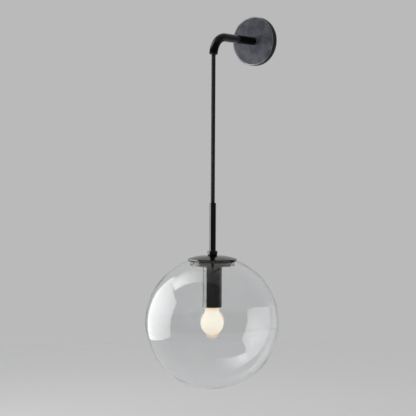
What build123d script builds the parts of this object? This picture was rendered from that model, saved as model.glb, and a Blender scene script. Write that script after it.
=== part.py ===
from build123d import *
from math import cos, degrees, radians, sin, sqrt
import os

# Hanging pendant wall sconce: a round backplate carries a bent tube arm, a braided cord drops from
# the arm's tip, and a clear glass globe with one golf-ball lamp hangs on a stem at the cord's end.
# Millimetres. The wall is the plane Y = 0, the lamp stands out towards -Y, and +Z is up.
# The origin is the centre of the backplate's rear rim. Heights below it are negative.

# ---- fits and clearances
moving_gap = 0.3            # between pieces that move past each other
thread_fit = 0.05           # radial gap of a screwed, brazed or glued joint
cord_clearance = 0.1        # radial gap of a cord inside a nipple's bore

# ---- wall bracket and backplate
plate_diameter = 94.0
plate_depth = 13.0
plate_wall = 1.5
plate_edge_round = 1.4
bracket_thickness = 2.0
bracket_width = 20.0
bracket_gap = 0.5           # between the bracket's corners and the backplate's rim
bracket_ring_diameter = 40.0
supply_hole_diameter = 27.0
slot_spacing = 60.0
slot_length = 10.0
slot_width = 5.0
rim_screw_diameter = 4.0
rim_screw_depth = 6.0       # from the wall to the screw's axis
rim_screw_length = 6.5
rim_screw_socket = 2.0      # across flats
rim_screw_flush = 0.2       # how far the screw's end lies under the rim's surface

# ---- arm
arm_diameter = 16.0
arm_wall = 1.2
arm_bend_radius = 36.5
arm_turn = 80.0             # degrees from level to the tip's direction
arm_tip_straight = 3.0
pendant_reach = 142.0       # from the wall to the hanging axis
insert_length = 12.0
nipple_diameter = 10.0
nipple_into_arm = 14.0
tip_bush_length = 6.0
washer_diameter = 18.0
washer_thickness = 1.0
washer_teeth = 12
washer_notch_width = 1.0
washer_notch_depth = 1.0
nut_across_flats = 14.0
arm_nut_thickness = 3.0
nipple_past_nut = 0.5

# ---- cord
cord_diameter = 7.8
free_cord_length = 279.8    # from the pivot in the arm's tip to the top of the stem
core_diameter = 1.5
core_spread = 1.7           # from the cord's axis to a core's axis at the jacket's end
core_rise = 0.8             # live and neutral cores above the cord's axis there
core_bend = 1.2
core_slack = 0.1            # straight stretch from the jacket's end to a core's first bend
core_turn_height = 11.3     # where live and neutral pass forward over the bracket's ring
bend_slack = 0.02           # straight stretch left between two bends in a row
grip_diameter = 15.0
grip_length = 4.0
grip_screw_diameter = 3.0
jacket_past_grip = 0.2

# ---- supply terminals and earth screw inside the backplate
terminal_width = 16.0
terminal_height = 9.6
terminal_depth = 8.0
terminal_low = 14.6         # height of the block's underside above the arm's axis
terminal_pitch = 9.0
terminal_bore = 2.2
terminal_screw_diameter = 2.8
terminal_screw_inset = 2.5
terminal_fixing_diameter = 2.5
earth_screw_drop = 19.0
earth_screw_diameter = 4.0
earth_head_diameter = 7.2
earth_head_height = 2.2
earth_slot_width = 1.0
earth_tag_diameter = 8.0
earth_tag_thickness = 0.8
earth_tag_tail = 4.2
earth_tag_tail_width = 3.0

# ---- stem and collar
stem_diameter = 12.5
stem_wall = 1.25
stem_length = 94.0
stem_bush_length = 8.0
set_screw_diameter = 3.0
set_screw_drop = 4.0
collar_diameter = 19.0
collar_height = 8.4
collar_seat = 4.4           # how deep the stem stands in the collar
collar_taper_height = 2.2
collar_taper = 1.3
collar_edge = 0.4

# ---- cap and gallery pan
cap_diameter = 91.5
cap_dome_height = 6.3
cap_flat_radius = 10.0
cap_rim_height = 2.1
cap_wall = 1.5
pan_diameter = 83.6
pan_wall = 1.2
pan_nest_gap = 0.1
pan_flat_step = 1.0         # from the pan's flat to the start of its dome
pan_skirt_bottom = 19.7     # from the cap's top to the skirt's lower edge
gasket_thickness = 0.8
gasket_height = 3.2
clip_count = 3
clip_first_angle = 6.0
clip_width = 7.0
clip_thickness = 0.6
clip_foot_radius = 25.0
clip_leaf_radius = 39.0
clip_knee_out = 1.4         # how far the knee stands past the hole in the glass
clip_slot_clearance = 0.6
clip_slot_drop = 1.0        # from the glass's upper edge to the slots' tops
clip_bend_drop = 0.9        # from the slots' tops to where the leaf bends out
clip_knee_drop = 2.1        # from the glass's lower edge to the knee
clip_foot_gap = 0.15        # between a clip's foot and the pan
rivet_radius_at = 30.0
rivet_diameter = 2.5
rivet_head_diameter = 4.6
rivet_head_height = 0.8

# ---- lampholder
sleeve_diameter = 36.0
sleeve_wall = 1.2
sleeve_length = 93.2
spacer_diameter = 17.0
spacer_thickness = 1.0      # keeps the sleeve's flat top off the pan's dome
hanger_nipple_length = 52.0
cord_past_nipple = 1.0
nipple_in_stem = 10.0
hanger_nut_thickness = 4.0
holder_diameter = 32.6
holder_cap_drop = 30.0      # from the sleeve's top to the holder cap's top
holder_cap_height = 16.0
holder_cap_wall = 2.0
holder_cap_top = 3.0
holder_body_height = 44.0
holder_bore = 28.0
holder_bore_depth = 23.0
holder_shell_wall = 0.45
holder_shell_thread = 27.0  # inside diameter of the screw shell
contact_width = 5.0
contact_thickness = 0.5
contact_stand = 1.5         # from the bore's floor to the contact's face
contact_foot_inset = 2.0    # tongue's end inside the shell, and its bend outside the lamp's dot
lead_spread = 9.0
lead_screw_diameter = 3.0
lead_screw_head = 5.0
lead_screw_head_height = 2.0
lead_screw_length = 4.0
lead_bend = 1.6
lead_straight = 3.2         # leads' run out of the cord before they part
lead_part_drop = 2.4        # how far they sink while they part

# ---- lamp, a golf-ball shape on an Edison screw base
lamp_diameter = 43.0
lamp_length = 77.0
lamp_glass_wall = 0.8
lamp_neck_diameter = 24.6
lamp_neck_seat = 15.0       # neck hidden in the base
lamp_flank_angle = 30.0     # above the equator, where the ball turns into the hollow flank
base_diameter = 26.4
base_wall = 0.4
base_barrel = 20.8
base_shoulder_height = 1.8
base_shoulder_diameter = 18.0
base_insulator_height = 1.2
base_contact_height = 0.8
base_contact_diameter = 8.8
mount_flare_thickness = 1.0
mount_tube_diameter = 7.0
mount_length = 24.0
support_wire_diameter = 0.6
support_wire_length = 13.0
wire_in_mount = 3.0         # the wires are fused into the mount's end
filament_diameter = 1.2
filament_length = 15.0

# ---- glass globe
globe_diameter = 250.0
globe_wall = 3.0
globe_hole_diameter = 86.0
globe_seat_gap = 0.4        # between the cap's rim and the glass


# ---- worked out from the sizes above
plate_radius = plate_diameter / 2
plate_inner_radius = plate_radius - plate_wall
plate_inner_face = plate_depth - plate_wall
bracket_half = sqrt(plate_inner_radius**2 - (bracket_width / 2) ** 2) - bracket_gap
arm_radius = arm_diameter / 2
arm_bore_radius = arm_radius - arm_wall
cord_radius = cord_diameter / 2
core_radius = core_diameter / 2
nipple_radius = nipple_diameter / 2
nipple_bore_radius = cord_radius + cord_clearance
arm_bend_start = pendant_reach - arm_bend_radius * sin(radians(arm_turn))
pivot_z = -arm_bend_radius * (1 - cos(radians(arm_turn)))
pivot = (0, -pendant_reach, pivot_z)
bend_centre = (-arm_bend_start, -arm_bend_radius)
bend_first_angle = 90.0     # the bend starts at the top of its circle

arm_washer_back = plate_inner_face - washer_thickness
arm_nut_back = arm_washer_back - arm_nut_thickness
arm_nipple_back = arm_nut_back - nipple_past_nut
grip_back = arm_nipple_back - grip_length
jacket_end = grip_back - jacket_past_grip
cord_end_angle = arm_turn - degrees((cord_radius + moving_gap) / arm_bend_radius)
tip_bush_angle = degrees(tip_bush_length / arm_bend_radius)

stem_top = pivot_z - free_cord_length
stem_bottom = stem_top - stem_length
stem_radius = stem_diameter / 2
stem_bore_radius = stem_radius - stem_wall
collar_top = stem_bottom + collar_seat
cap_top = collar_top - collar_height
cap_radius = cap_diameter / 2
dome_run = cap_radius - cap_flat_radius
dome_radius = (dome_run**2 + cap_dome_height**2) / (2 * cap_dome_height)
dome_centre_z = cap_top - dome_radius
cap_rim_bottom = cap_top - cap_dome_height - cap_rim_height
pan_radius = pan_diameter / 2
pan_top = cap_top - cap_wall
pan_under = pan_top - pan_wall
pan_bottom = cap_top - pan_skirt_bottom
nipple_hole_radius = nipple_radius + thread_fit

globe_radius = globe_diameter / 2
globe_inner_radius = globe_radius - globe_wall
globe_hole_radius = globe_hole_diameter / 2
globe_centre_z = (
    cap_rim_bottom - globe_seat_gap - sqrt(globe_radius**2 - (cap_radius - cap_wall) ** 2)
)
globe_hole_top = globe_centre_z + sqrt(globe_radius**2 - globe_hole_radius**2)
globe_hole_under = globe_centre_z + sqrt(globe_inner_radius**2 - globe_hole_radius**2)

sleeve_top = pan_under - spacer_thickness
sleeve_bottom = sleeve_top - sleeve_length
sleeve_radius = sleeve_diameter / 2
sleeve_bore_radius = sleeve_radius - sleeve_wall
hanger_washer_top = sleeve_top - sleeve_wall
hanger_nut_top = hanger_washer_top - washer_thickness
hanger_nipple_top = stem_bottom + nipple_in_stem
hanger_nipple_bottom = hanger_nipple_top - hanger_nipple_length
holder_radius = holder_diameter / 2
holder_cap_z = sleeve_top - holder_cap_drop
holder_body_top = holder_cap_z - holder_cap_height
holder_body_bottom = holder_body_top - holder_body_height
holder_floor = holder_body_bottom + holder_bore_depth
holder_bore_radius = holder_bore / 2
holder_shell_radius = holder_shell_thread / 2
stem_cord_end = hanger_nipple_bottom - cord_past_nipple
lead_head_top = holder_body_top + lead_screw_head_height
contact_face = holder_floor - contact_stand

lamp_tip = contact_face - moving_gap
lamp_contact_low = lamp_tip - base_contact_height
lamp_insulator_low = lamp_contact_low - base_insulator_height
lamp_shoulder_low = lamp_insulator_low - base_shoulder_height
lamp_base_bottom = lamp_shoulder_low - base_barrel
lamp_radius = lamp_diameter / 2
lamp_bottom = lamp_tip - lamp_length
lamp_equator = lamp_bottom + lamp_radius
lamp_neck_radius = lamp_neck_diameter / 2
lamp_neck_top = lamp_base_bottom + lamp_neck_seat
flank_cosine = cos(radians(lamp_flank_angle))
flank_sine = sin(radians(lamp_flank_angle))
flank_radius = (lamp_radius * flank_cosine - lamp_neck_radius) / (1 - flank_cosine)
lamp_neck_bottom = lamp_equator + (lamp_radius + flank_radius) * flank_sine
base_radius = base_diameter / 2
filament_z = lamp_neck_top - mount_length - support_wire_length

# ---- planes and axes
wall_front = Plane.XZ                                   # faces -Y, its own y is up
hang_axis = Axis((0, -pendant_reach, 0), (0, 0, 1))


def level(height):
    """Level plane at a height, with its origin on the hanging axis."""
    return Plane.XY.offset(height).shift_origin((0, -pendant_reach, height))


def section(angle=0.0):
    """Upright plane through the hanging axis; its x runs outwards and its y is the height."""
    outwards = (cos(radians(angle)), sin(radians(angle)), 0)
    facing = (sin(radians(angle)), -cos(radians(angle)), 0)
    return Plane(origin=(0, -pendant_reach, 0), x_dir=outwards, z_dir=facing)


def dome_z(radius, inset=0.0):
    """Height of the cap's dome at a radius, on a surface that lies inset below the outside."""
    return dome_centre_z + sqrt((dome_radius - inset) ** 2 - (radius - cap_flat_radius) ** 2)


def lamp_outline(inset=0.0):
    """Pole, lowest side point, flank's start, neck's bottom and top of the bulb, inset inwards."""
    ball = lamp_radius - inset
    neck = lamp_neck_radius - inset
    return [
        (0, lamp_equator - ball),
        (ball * sqrt(0.5), lamp_equator - ball * sqrt(0.5)),
        (ball * flank_cosine, lamp_equator + ball * flank_sine),
        (neck, lamp_neck_bottom),
        (neck, lamp_neck_top),
    ]


clip_angles = [clip_first_angle + n * 360.0 / clip_count for n in range(clip_count)]

# ============================================================ wall side

# Pressed steel crossbar: two slots for the wall screws, a ring round the supply hole and two
# turned-up tabs, tapped for the rim screws.
with BuildPart() as wall_bracket:
    with BuildSketch(wall_front):
        Rectangle(bracket_width, 2 * bracket_half)
        Circle(bracket_ring_diameter / 2)
        Circle(supply_hole_diameter / 2, mode=Mode.SUBTRACT)
        with GridLocations(0, slot_spacing, 1, 2):
            SlotOverall(slot_length, slot_width, rotation=90, mode=Mode.SUBTRACT)
        with Locations((0, -earth_screw_drop)):
            Circle(earth_screw_diameter / 2 + thread_fit, mode=Mode.SUBTRACT)
        with Locations((0, terminal_low + terminal_height / 2)):
            Circle(terminal_fixing_diameter / 2 + thread_fit, mode=Mode.SUBTRACT)
    extrude(amount=bracket_thickness)
    tab_reach = rim_screw_depth + rim_screw_diameter
    with BuildSketch(wall_front):
        with GridLocations(0, 2 * bracket_half - bracket_thickness, 1, 2):
            Rectangle(bracket_width, bracket_thickness)
    extrude(amount=tab_reach)
    with BuildSketch(Plane.XY):
        with Locations((0, -rim_screw_depth)):
            Circle(rim_screw_diameter / 2 + thread_fit)
    extrude(amount=bracket_half + bracket_gap, both=True, mode=Mode.SUBTRACT)
wall_bracket.part.label = "wall_bracket"
export_step(wall_bracket.part, "parts/wall_bracket.step")

# Spun steel dish with a flat front; the arm passes its centre and two screws pass its rim.
with BuildPart() as backplate:
    with BuildSketch(Plane.XY):
        with BuildLine():
            Polyline(
                (nipple_hole_radius, -plate_depth),
                (plate_radius, -plate_depth),
                (plate_radius, 0),
                (plate_inner_radius, 0),
                (plate_inner_radius, -plate_inner_face),
                (nipple_hole_radius, -plate_inner_face),
                close=True,
            )
        make_face()
    revolve(axis=Axis.Y)
    front_rim = backplate.faces().sort_by(Axis.Y)[0].outer_wire().edges()
    fillet(front_rim, plate_edge_round)
    with BuildSketch(Plane.XY):
        with Locations((0, -rim_screw_depth)):
            Circle(rim_screw_diameter / 2 + thread_fit)
    extrude(amount=plate_radius, both=True, mode=Mode.SUBTRACT)
backplate.part.label = "backplate"
export_step(backplate.part, "parts/backplate.step")

# Two socket set screws, flush in the backplate's rim at the top and the bottom.
rim_screw_end = plate_radius - rim_screw_flush
with BuildPart() as rim_screws:
    with BuildSketch(Plane.XY.offset(rim_screw_end - rim_screw_length)):
        with Locations((0, -rim_screw_depth)):
            Circle(rim_screw_diameter / 2)
    extrude(amount=rim_screw_length)
    with BuildSketch(Plane.XY.offset(rim_screw_end)):
        with Locations((0, -rim_screw_depth)):
            RegularPolygon(rim_screw_socket / 2, 6, major_radius=False)
    extrude(amount=-rim_screw_length / 2, mode=Mode.SUBTRACT)
    mirror(about=Plane.XY)
rim_screws.part.label = "rim_screws"
export_step(rim_screws.part, "parts/rim_screws.step")

# Bent steel tube, level at the plate and nearly upright at its open tip.
with BuildPart() as arm_tube:
    with BuildLine(Plane.YZ) as arm_path:
        arm_level = Line((-plate_depth, 0), (-arm_bend_start, 0))
        arm_bend = CenterArc(bend_centre, arm_bend_radius, bend_first_angle, arm_turn)
        arm_tip = Line(arm_bend @ 1, arm_bend @ 1 + arm_tip_straight * (arm_bend % 1))
    with BuildSketch(wall_front.offset(plate_depth)):
        Circle(arm_radius)
        Circle(arm_bore_radius, mode=Mode.SUBTRACT)
    sweep(path=arm_path.wires()[0])
arm_tube.part.label = "arm_tube"
export_step(arm_tube.part, "parts/arm_tube.step")

# Turned plug brazed into the arm's root, tapped for the nipple.
with BuildPart() as arm_insert:
    with BuildSketch(wall_front.offset(plate_depth)):
        Circle(arm_bore_radius - thread_fit)
        Circle(nipple_hole_radius, mode=Mode.SUBTRACT)
    extrude(amount=insert_length)
arm_insert.part.label = "arm_insert"
export_step(arm_insert.part, "parts/arm_insert.step")

# Threaded tube that holds the arm to the backplate and lets the cord through.
with BuildPart() as arm_nipple:
    with BuildSketch(wall_front.offset(arm_nipple_back)):
        Circle(nipple_radius)
        Circle(nipple_bore_radius, mode=Mode.SUBTRACT)
    extrude(amount=plate_depth + nipple_into_arm - arm_nipple_back)
arm_nipple.part.label = "arm_nipple"
export_step(arm_nipple.part, "parts/arm_nipple.step")

# Toothed lock washer behind the plate, which stops the arm turning.
with BuildPart() as arm_washer:
    with BuildSketch(wall_front.offset(arm_washer_back)):
        Circle(washer_diameter / 2)
        Circle(nipple_hole_radius, mode=Mode.SUBTRACT)
        with PolarLocations(washer_diameter / 2, washer_teeth):
            Rectangle(2 * washer_notch_depth, washer_notch_width, mode=Mode.SUBTRACT)
    extrude(amount=washer_thickness)
arm_washer.part.label = "arm_washer"
export_step(arm_washer.part, "parts/arm_washer.step")

# Hexagon nut on the nipple.
with BuildPart() as arm_nut:
    with BuildSketch(wall_front.offset(arm_nut_back)):
        RegularPolygon(nut_across_flats / 2, 6, major_radius=False)
        Circle(nipple_hole_radius, mode=Mode.SUBTRACT)
    extrude(amount=arm_nut_thickness)
arm_nut.part.label = "arm_nut"
export_step(arm_nut.part, "parts/arm_nut.step")

# Nylon grommet near the arm's tip, curved with the tube.
with BuildPart() as tip_bush:
    with BuildLine(Plane.YZ):
        bush_start = bend_first_angle + cord_end_angle - tip_bush_angle
        bush_arc = CenterArc(bend_centre, arm_bend_radius, bush_start, tip_bush_angle)
    with BuildSketch(Plane(origin=bush_arc @ 0, z_dir=bush_arc % 0)):
        Circle(arm_bore_radius - thread_fit)
        Circle(cord_radius + thread_fit, mode=Mode.SUBTRACT)
    sweep(path=bush_arc)
tip_bush.part.label = "tip_bush"
export_step(tip_bush.part, "parts/tip_bush.step")

# Braided cord where it runs inside the arm, from the stripped end to the tip.
with BuildPart() as arm_cord:
    with BuildLine(Plane.YZ) as arm_cord_path:
        Line((-jacket_end, 0), (-arm_bend_start, 0))
        CenterArc(bend_centre, arm_bend_radius, bend_first_angle, cord_end_angle)
    with BuildSketch(wall_front.offset(jacket_end)):
        Circle(cord_radius)
    sweep(path=arm_cord_path.wires()[0])
arm_cord.part.label = "arm_cord"
export_step(arm_cord.part, "parts/arm_cord.step")

# Clamp collar on the cord; it bears on the nipple's end and carries the whole pendant.
with BuildPart() as cord_grip:
    with BuildSketch(wall_front.offset(grip_back)):
        Circle(grip_diameter / 2)
        Circle(cord_radius + thread_fit, mode=Mode.SUBTRACT)
    extrude(amount=grip_length)
    with BuildSketch(Plane.YZ):
        with Locations((-(grip_back + grip_length / 2), 0)):
            Circle(grip_screw_diameter / 2 + thread_fit)
    extrude(amount=grip_diameter, mode=Mode.SUBTRACT)
cord_grip.part.label = "cord_grip"
export_step(cord_grip.part, "parts/cord_grip.step")

# Set screw of the clamp collar.
with BuildPart() as grip_screw:
    with BuildSketch(Plane.YZ.offset(cord_radius + thread_fit)):
        with Locations((-(grip_back + grip_length / 2), 0)):
            Circle(grip_screw_diameter / 2)
    extrude(amount=grip_diameter / 2 - cord_radius - thread_fit)
grip_screw.part.label = "grip_screw"
export_step(grip_screw.part, "parts/grip_screw.step")

# Two-way terminal block on the bracket, above the nut.
terminal_middle = terminal_low + terminal_height / 2
terminal_top = terminal_low + terminal_height
terminal_front = bracket_thickness + terminal_depth
bore_depth_y = bracket_thickness + terminal_depth / 2
with BuildPart() as terminal_block:
    with BuildSketch(wall_front.offset(bracket_thickness)):
        with Locations((0, terminal_middle)):
            Rectangle(terminal_width, terminal_height)
            Circle(terminal_fixing_diameter / 2 + thread_fit, mode=Mode.SUBTRACT)
    extrude(amount=terminal_depth)
    with BuildSketch(Plane.XY.offset(terminal_low)):
        with Locations((-terminal_pitch / 2, -bore_depth_y), (terminal_pitch / 2, -bore_depth_y)):
            Circle(terminal_bore / 2)
    extrude(amount=terminal_height, mode=Mode.SUBTRACT)
    with BuildSketch(wall_front.offset(bore_depth_y)):
        with Locations((0, terminal_middle)):
            with GridLocations(terminal_pitch, terminal_height - 2 * terminal_screw_inset, 2, 2):
                Circle(terminal_screw_diameter / 2 + thread_fit)
    extrude(amount=terminal_depth, mode=Mode.SUBTRACT)
terminal_block.part.label = "terminal_block"
export_step(terminal_block.part, "parts/terminal_block.step")

# Four clamping screws of the terminal block, down to the cores.
with BuildPart() as terminal_screws:
    with BuildSketch(wall_front.offset(bore_depth_y + core_radius)):
        with Locations((0, terminal_middle)):
            with GridLocations(terminal_pitch, terminal_height - 2 * terminal_screw_inset, 2, 2):
                Circle(terminal_screw_diameter / 2)
    extrude(amount=terminal_front - bore_depth_y - core_radius)
terminal_screws.part.label = "terminal_screws"
export_step(terminal_screws.part, "parts/terminal_screws.step")

# Screw that holds the terminal block to the bracket.
with BuildPart() as terminal_fixing:
    with BuildSketch(wall_front):
        with Locations((0, terminal_middle)):
            Circle(terminal_fixing_diameter / 2)
    extrude(amount=terminal_front)
terminal_fixing.part.label = "terminal_fixing"
export_step(terminal_fixing.part, "parts/terminal_fixing.step")

# Insulated cores from the cord's stripped end: behind the collar, forward past the bracket's ring
# and up into the terminal block.
core_back = jacket_end - core_bend - core_slack
core_end_z = terminal_low + terminal_screw_inset + terminal_screw_diameter / 2


def core_route(side):
    """Corners of a live or neutral core; side is 1 or -1."""
    return [
        (side * core_spread, -jacket_end, core_rise),
        (side * core_spread, -core_back, core_rise),
        (side * terminal_pitch / 2, -core_back, core_turn_height),
        (side * terminal_pitch / 2, -bore_depth_y, core_turn_height),
        (side * terminal_pitch / 2, -bore_depth_y, core_end_z),
    ]


with BuildPart() as live_core:
    with BuildLine():
        live_path = FilletPolyline(*core_route(1), radius=core_bend)
    with BuildSketch(Plane(origin=live_path @ 0, z_dir=live_path % 0)):
        Circle(core_radius)
    sweep(path=live_path)
live_core.part.label = "live_core"
export_step(live_core.part, "parts/live_core.step")

with BuildPart() as neutral_core:
    with BuildLine():
        neutral_path = FilletPolyline(*core_route(-1), radius=core_bend)
    with BuildSketch(Plane(origin=neutral_path @ 0, z_dir=neutral_path % 0)):
        Circle(core_radius)
    sweep(path=neutral_path)
neutral_core.part.label = "neutral_core"
export_step(neutral_core.part, "parts/neutral_core.step")

# Earth core: down behind the collar, over the bracket's ring and onto the ring tag.
earth_lift = bracket_thickness + earth_tag_thickness + core_radius + thread_fit
earth_climb_z = -(supply_hole_diameter / 2 - 2 * core_diameter)
earth_end_z = -(earth_screw_drop - earth_tag_diameter / 2)
earth_bend = (earth_lift - core_back) / 2 - bend_slack
with BuildPart() as earth_core:
    with BuildLine():
        earth_path = FilletPolyline(
            (0, -jacket_end, -core_spread),
            (0, -core_back, -core_spread),
            (0, -core_back, earth_climb_z),
            (0, -earth_lift, earth_climb_z),
            (0, -earth_lift, earth_end_z),
            radius=[core_bend, earth_bend, earth_bend],
        )
    with BuildSketch(Plane(origin=earth_path @ 0, z_dir=earth_path % 0)):
        Circle(core_radius)
    sweep(path=earth_path)
earth_core.part.label = "earth_core"
export_step(earth_core.part, "parts/earth_core.step")

# Ring tag on the end of the earth core.
with BuildPart() as earth_tag:
    with BuildSketch(wall_front.offset(bracket_thickness)):
        with Locations((0, -earth_screw_drop)):
            Circle(earth_tag_diameter / 2)
        with Locations((0, -earth_screw_drop + earth_tag_tail / 2)):
            Rectangle(earth_tag_tail_width, earth_tag_tail)
        with Locations((0, -earth_screw_drop)):
            Circle(earth_screw_diameter / 2 + thread_fit, mode=Mode.SUBTRACT)
    extrude(amount=earth_tag_thickness)
earth_tag.part.label = "earth_tag"
export_step(earth_tag.part, "parts/earth_tag.step")

# Slotted pan-head earth screw.
with BuildPart() as earth_screw:
    with BuildSketch(wall_front):
        with Locations((0, -earth_screw_drop)):
            Circle(earth_screw_diameter / 2)
    extrude(amount=bracket_thickness + earth_tag_thickness)
    with BuildSketch(wall_front.offset(bracket_thickness + earth_tag_thickness)):
        with Locations((0, -earth_screw_drop)):
            Circle(earth_head_diameter / 2)
    extrude(amount=earth_head_height)
    with BuildSketch(wall_front.offset(bracket_thickness + earth_tag_thickness + earth_head_height)):
        with Locations((0, -earth_screw_drop)):
            Rectangle(earth_head_diameter, earth_slot_width)
    extrude(amount=-earth_head_height / 2, mode=Mode.SUBTRACT)
earth_screw.part.label = "earth_screw"
export_step(earth_screw.part, "parts/earth_screw.step")

# ============================================================ free cord

# The short length of cord that flexes in the arm's mouth, as a ball about the point it swings on.
with BuildPart() as cord_flex:
    with Locations(pivot):
        Sphere(cord_radius)
cord_flex.part.label = "cord_flex"
export_step(cord_flex.part, "parts/cord_flex.step")

# Free cord, pulled straight by the pendant's weight.
with BuildPart() as cord:
    with BuildSketch(level(stem_top)):
        Circle(cord_radius)
    extrude(amount=free_cord_length)
    with Locations(pivot):
        Sphere(cord_radius + moving_gap, mode=Mode.SUBTRACT)
cord.part.label = "cord"
export_step(cord.part, "parts/cord.step")

# ============================================================ pendant

# Straight steel stem with a tapped hole for the set screw at its back.
with BuildPart() as stem_tube:
    with BuildSketch(level(stem_bottom)):
        Circle(stem_radius)
        Circle(stem_bore_radius, mode=Mode.SUBTRACT)
    extrude(amount=stem_length)
    with BuildSketch(wall_front.offset(pendant_reach)):
        with Locations((0, stem_top - set_screw_drop)):
            Circle(set_screw_diameter / 2 + thread_fit)
    extrude(amount=-stem_diameter, mode=Mode.SUBTRACT)
stem_tube.part.label = "stem_tube"
export_step(stem_tube.part, "parts/stem_tube.step")

# Nylon bush that centres the cord in the stem's mouth.
with BuildPart() as stem_bush:
    with BuildSketch(level(stem_top - stem_bush_length)):
        Circle(stem_bore_radius - thread_fit)
        Circle(cord_radius + thread_fit, mode=Mode.SUBTRACT)
    extrude(amount=stem_bush_length)
stem_bush.part.label = "stem_bush"
export_step(stem_bush.part, "parts/stem_bush.step")

# Set screw that presses the bush on the cord.
with BuildPart() as stem_set_screw:
    with BuildSketch(wall_front.offset(pendant_reach - stem_radius)):
        with Locations((0, stem_top - set_screw_drop)):
            Circle(set_screw_diameter / 2)
    extrude(amount=stem_wall)
stem_set_screw.part.label = "stem_set_screw"
export_step(stem_set_screw.part, "parts/stem_set_screw.step")

# Cord inside the stem and the hanger nipple, down to the lampholder.
with BuildPart() as stem_cord:
    with BuildSketch(level(stem_cord_end)):
        Circle(cord_radius)
    extrude(amount=stem_top - stem_cord_end)
stem_cord.part.label = "stem_cord"
export_step(stem_cord.part, "parts/stem_cord.step")

# Turned collar: the stem stands in it, and it presses on the cap.
with BuildPart() as collar:
    with BuildSketch(section()):
        with BuildLine():
            Polyline(
                (stem_radius + thread_fit, collar_top),
                (collar_diameter / 2, collar_top),
                (collar_diameter / 2, cap_top + collar_taper_height),
                (collar_diameter / 2 - collar_taper, cap_top),
                (nipple_hole_radius, cap_top),
                (nipple_hole_radius, stem_bottom),
                (stem_radius + thread_fit, stem_bottom),
                close=True,
            )
        make_face()
    revolve(axis=hang_axis)
    top_edges = collar.edges().filter_by(GeomType.CIRCLE).group_by(Axis.Z)[-1]
    chamfer(top_edges.sort_by(SortBy.RADIUS)[-1], collar_edge)
collar.part.label = "collar"
export_step(collar.part, "parts/collar.step")

# Spun steel cap: a flat centre, a shallow dome and a short upright rim just above the glass.
with BuildPart() as cap:
    with BuildSketch(section()):
        with BuildLine():
            Line((nipple_hole_radius, cap_top), (cap_flat_radius, cap_top))
            TangentArc(
                (cap_flat_radius, cap_top), (cap_radius, dome_z(cap_radius)), tangent=(1, 0)
            )
            Polyline(
                (cap_radius, dome_z(cap_radius)),
                (cap_radius, cap_rim_bottom),
                (cap_radius - cap_wall, cap_rim_bottom),
                (cap_radius - cap_wall, dome_z(cap_radius - cap_wall, cap_wall)),
            )
            TangentArc(
                (cap_flat_radius, cap_top - cap_wall),
                (cap_radius - cap_wall, dome_z(cap_radius - cap_wall, cap_wall)),
                tangent=(1, 0),
            )
            Polyline(
                (cap_flat_radius, cap_top - cap_wall),
                (nipple_hole_radius, cap_top - cap_wall),
                (nipple_hole_radius, cap_top),
            )
        make_face()
    revolve(axis=hang_axis)
cap.part.label = "cap"
export_step(cap.part, "parts/cap.step")

# Gallery pan nested under the cap: its skirt centres the glass, and slots let the clips through.
pan_inset = cap_wall + pan_nest_gap
pan_inner_inset = pan_inset + pan_wall
pan_inner_radius = pan_radius - pan_wall
slot_top = globe_hole_top - clip_slot_drop
with BuildPart() as gallery_pan:
    with BuildSketch(section()):
        with BuildLine():
            Polyline(
                (nipple_hole_radius, pan_top),
                (cap_flat_radius - pan_flat_step, pan_top),
                (cap_flat_radius, pan_top - pan_nest_gap),
            )
            TangentArc(
                (cap_flat_radius, pan_top - pan_nest_gap),
                (pan_radius, dome_z(pan_radius, pan_inset)),
                tangent=(1, 0),
            )
            Polyline(
                (pan_radius, dome_z(pan_radius, pan_inset)),
                (pan_radius, pan_bottom),
                (pan_inner_radius, pan_bottom),
                (pan_inner_radius, dome_z(pan_inner_radius, pan_inner_inset)),
            )
            TangentArc(
                (cap_flat_radius, pan_under - pan_nest_gap),
                (pan_inner_radius, dome_z(pan_inner_radius, pan_inner_inset)),
                tangent=(1, 0),
            )
            Polyline(
                (cap_flat_radius, pan_under - pan_nest_gap),
                (cap_flat_radius - pan_flat_step, pan_under),
                (nipple_hole_radius, pan_under),
                (nipple_hole_radius, pan_top),
            )
        make_face()
    revolve(axis=hang_axis)
    for angle in clip_angles:
        with BuildSketch(section(angle + 90).offset(pan_inner_radius - pan_wall)):
            with Locations((0, (slot_top + pan_bottom) / 2)):
                Rectangle(clip_width + 2 * clip_slot_clearance, slot_top - pan_bottom)
        extrude(amount=3 * pan_wall, mode=Mode.SUBTRACT)
    with BuildSketch(level(pan_bottom)):
        with PolarLocations(rivet_radius_at, clip_count, start_angle=clip_first_angle):
            Circle(rivet_diameter / 2 + thread_fit)
    extrude(amount=cap_top - pan_bottom, mode=Mode.SUBTRACT)
gallery_pan.part.label = "gallery_pan"
export_step(gallery_pan.part, "parts/gallery_pan.step")

# Three spring steel clips: a foot under the pan, a leaf, and a knee that catches the glass.
clip_foot_z = dome_z(clip_foot_radius, pan_inner_inset) - clip_foot_gap
clip_shoulder_z = dome_z(clip_leaf_radius, pan_inner_inset) - clip_foot_gap
knee_radius = globe_hole_radius + clip_knee_out
knee_z = globe_hole_under - clip_knee_drop
clip_end_z = pan_bottom + clip_thickness
with BuildPart() as globe_clips:
    for angle in clip_angles:
        with BuildSketch(section(angle)):
            with BuildLine():
                FilletPolyline(
                    (clip_foot_radius, clip_foot_z),
                    (clip_leaf_radius, clip_shoulder_z),
                    (clip_leaf_radius, slot_top - clip_bend_drop),
                    (knee_radius, knee_z),
                    (clip_leaf_radius, clip_end_z),
                    radius=clip_thickness,
                )
                offset(amount=clip_thickness, side=Side.RIGHT)
            make_face()
        extrude(amount=clip_width / 2, both=True)
    with BuildSketch(level(pan_bottom)):
        with PolarLocations(rivet_radius_at, clip_count, start_angle=clip_first_angle):
            Circle(rivet_diameter / 2 + thread_fit)
    extrude(amount=cap_top - pan_bottom, mode=Mode.SUBTRACT)
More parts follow.
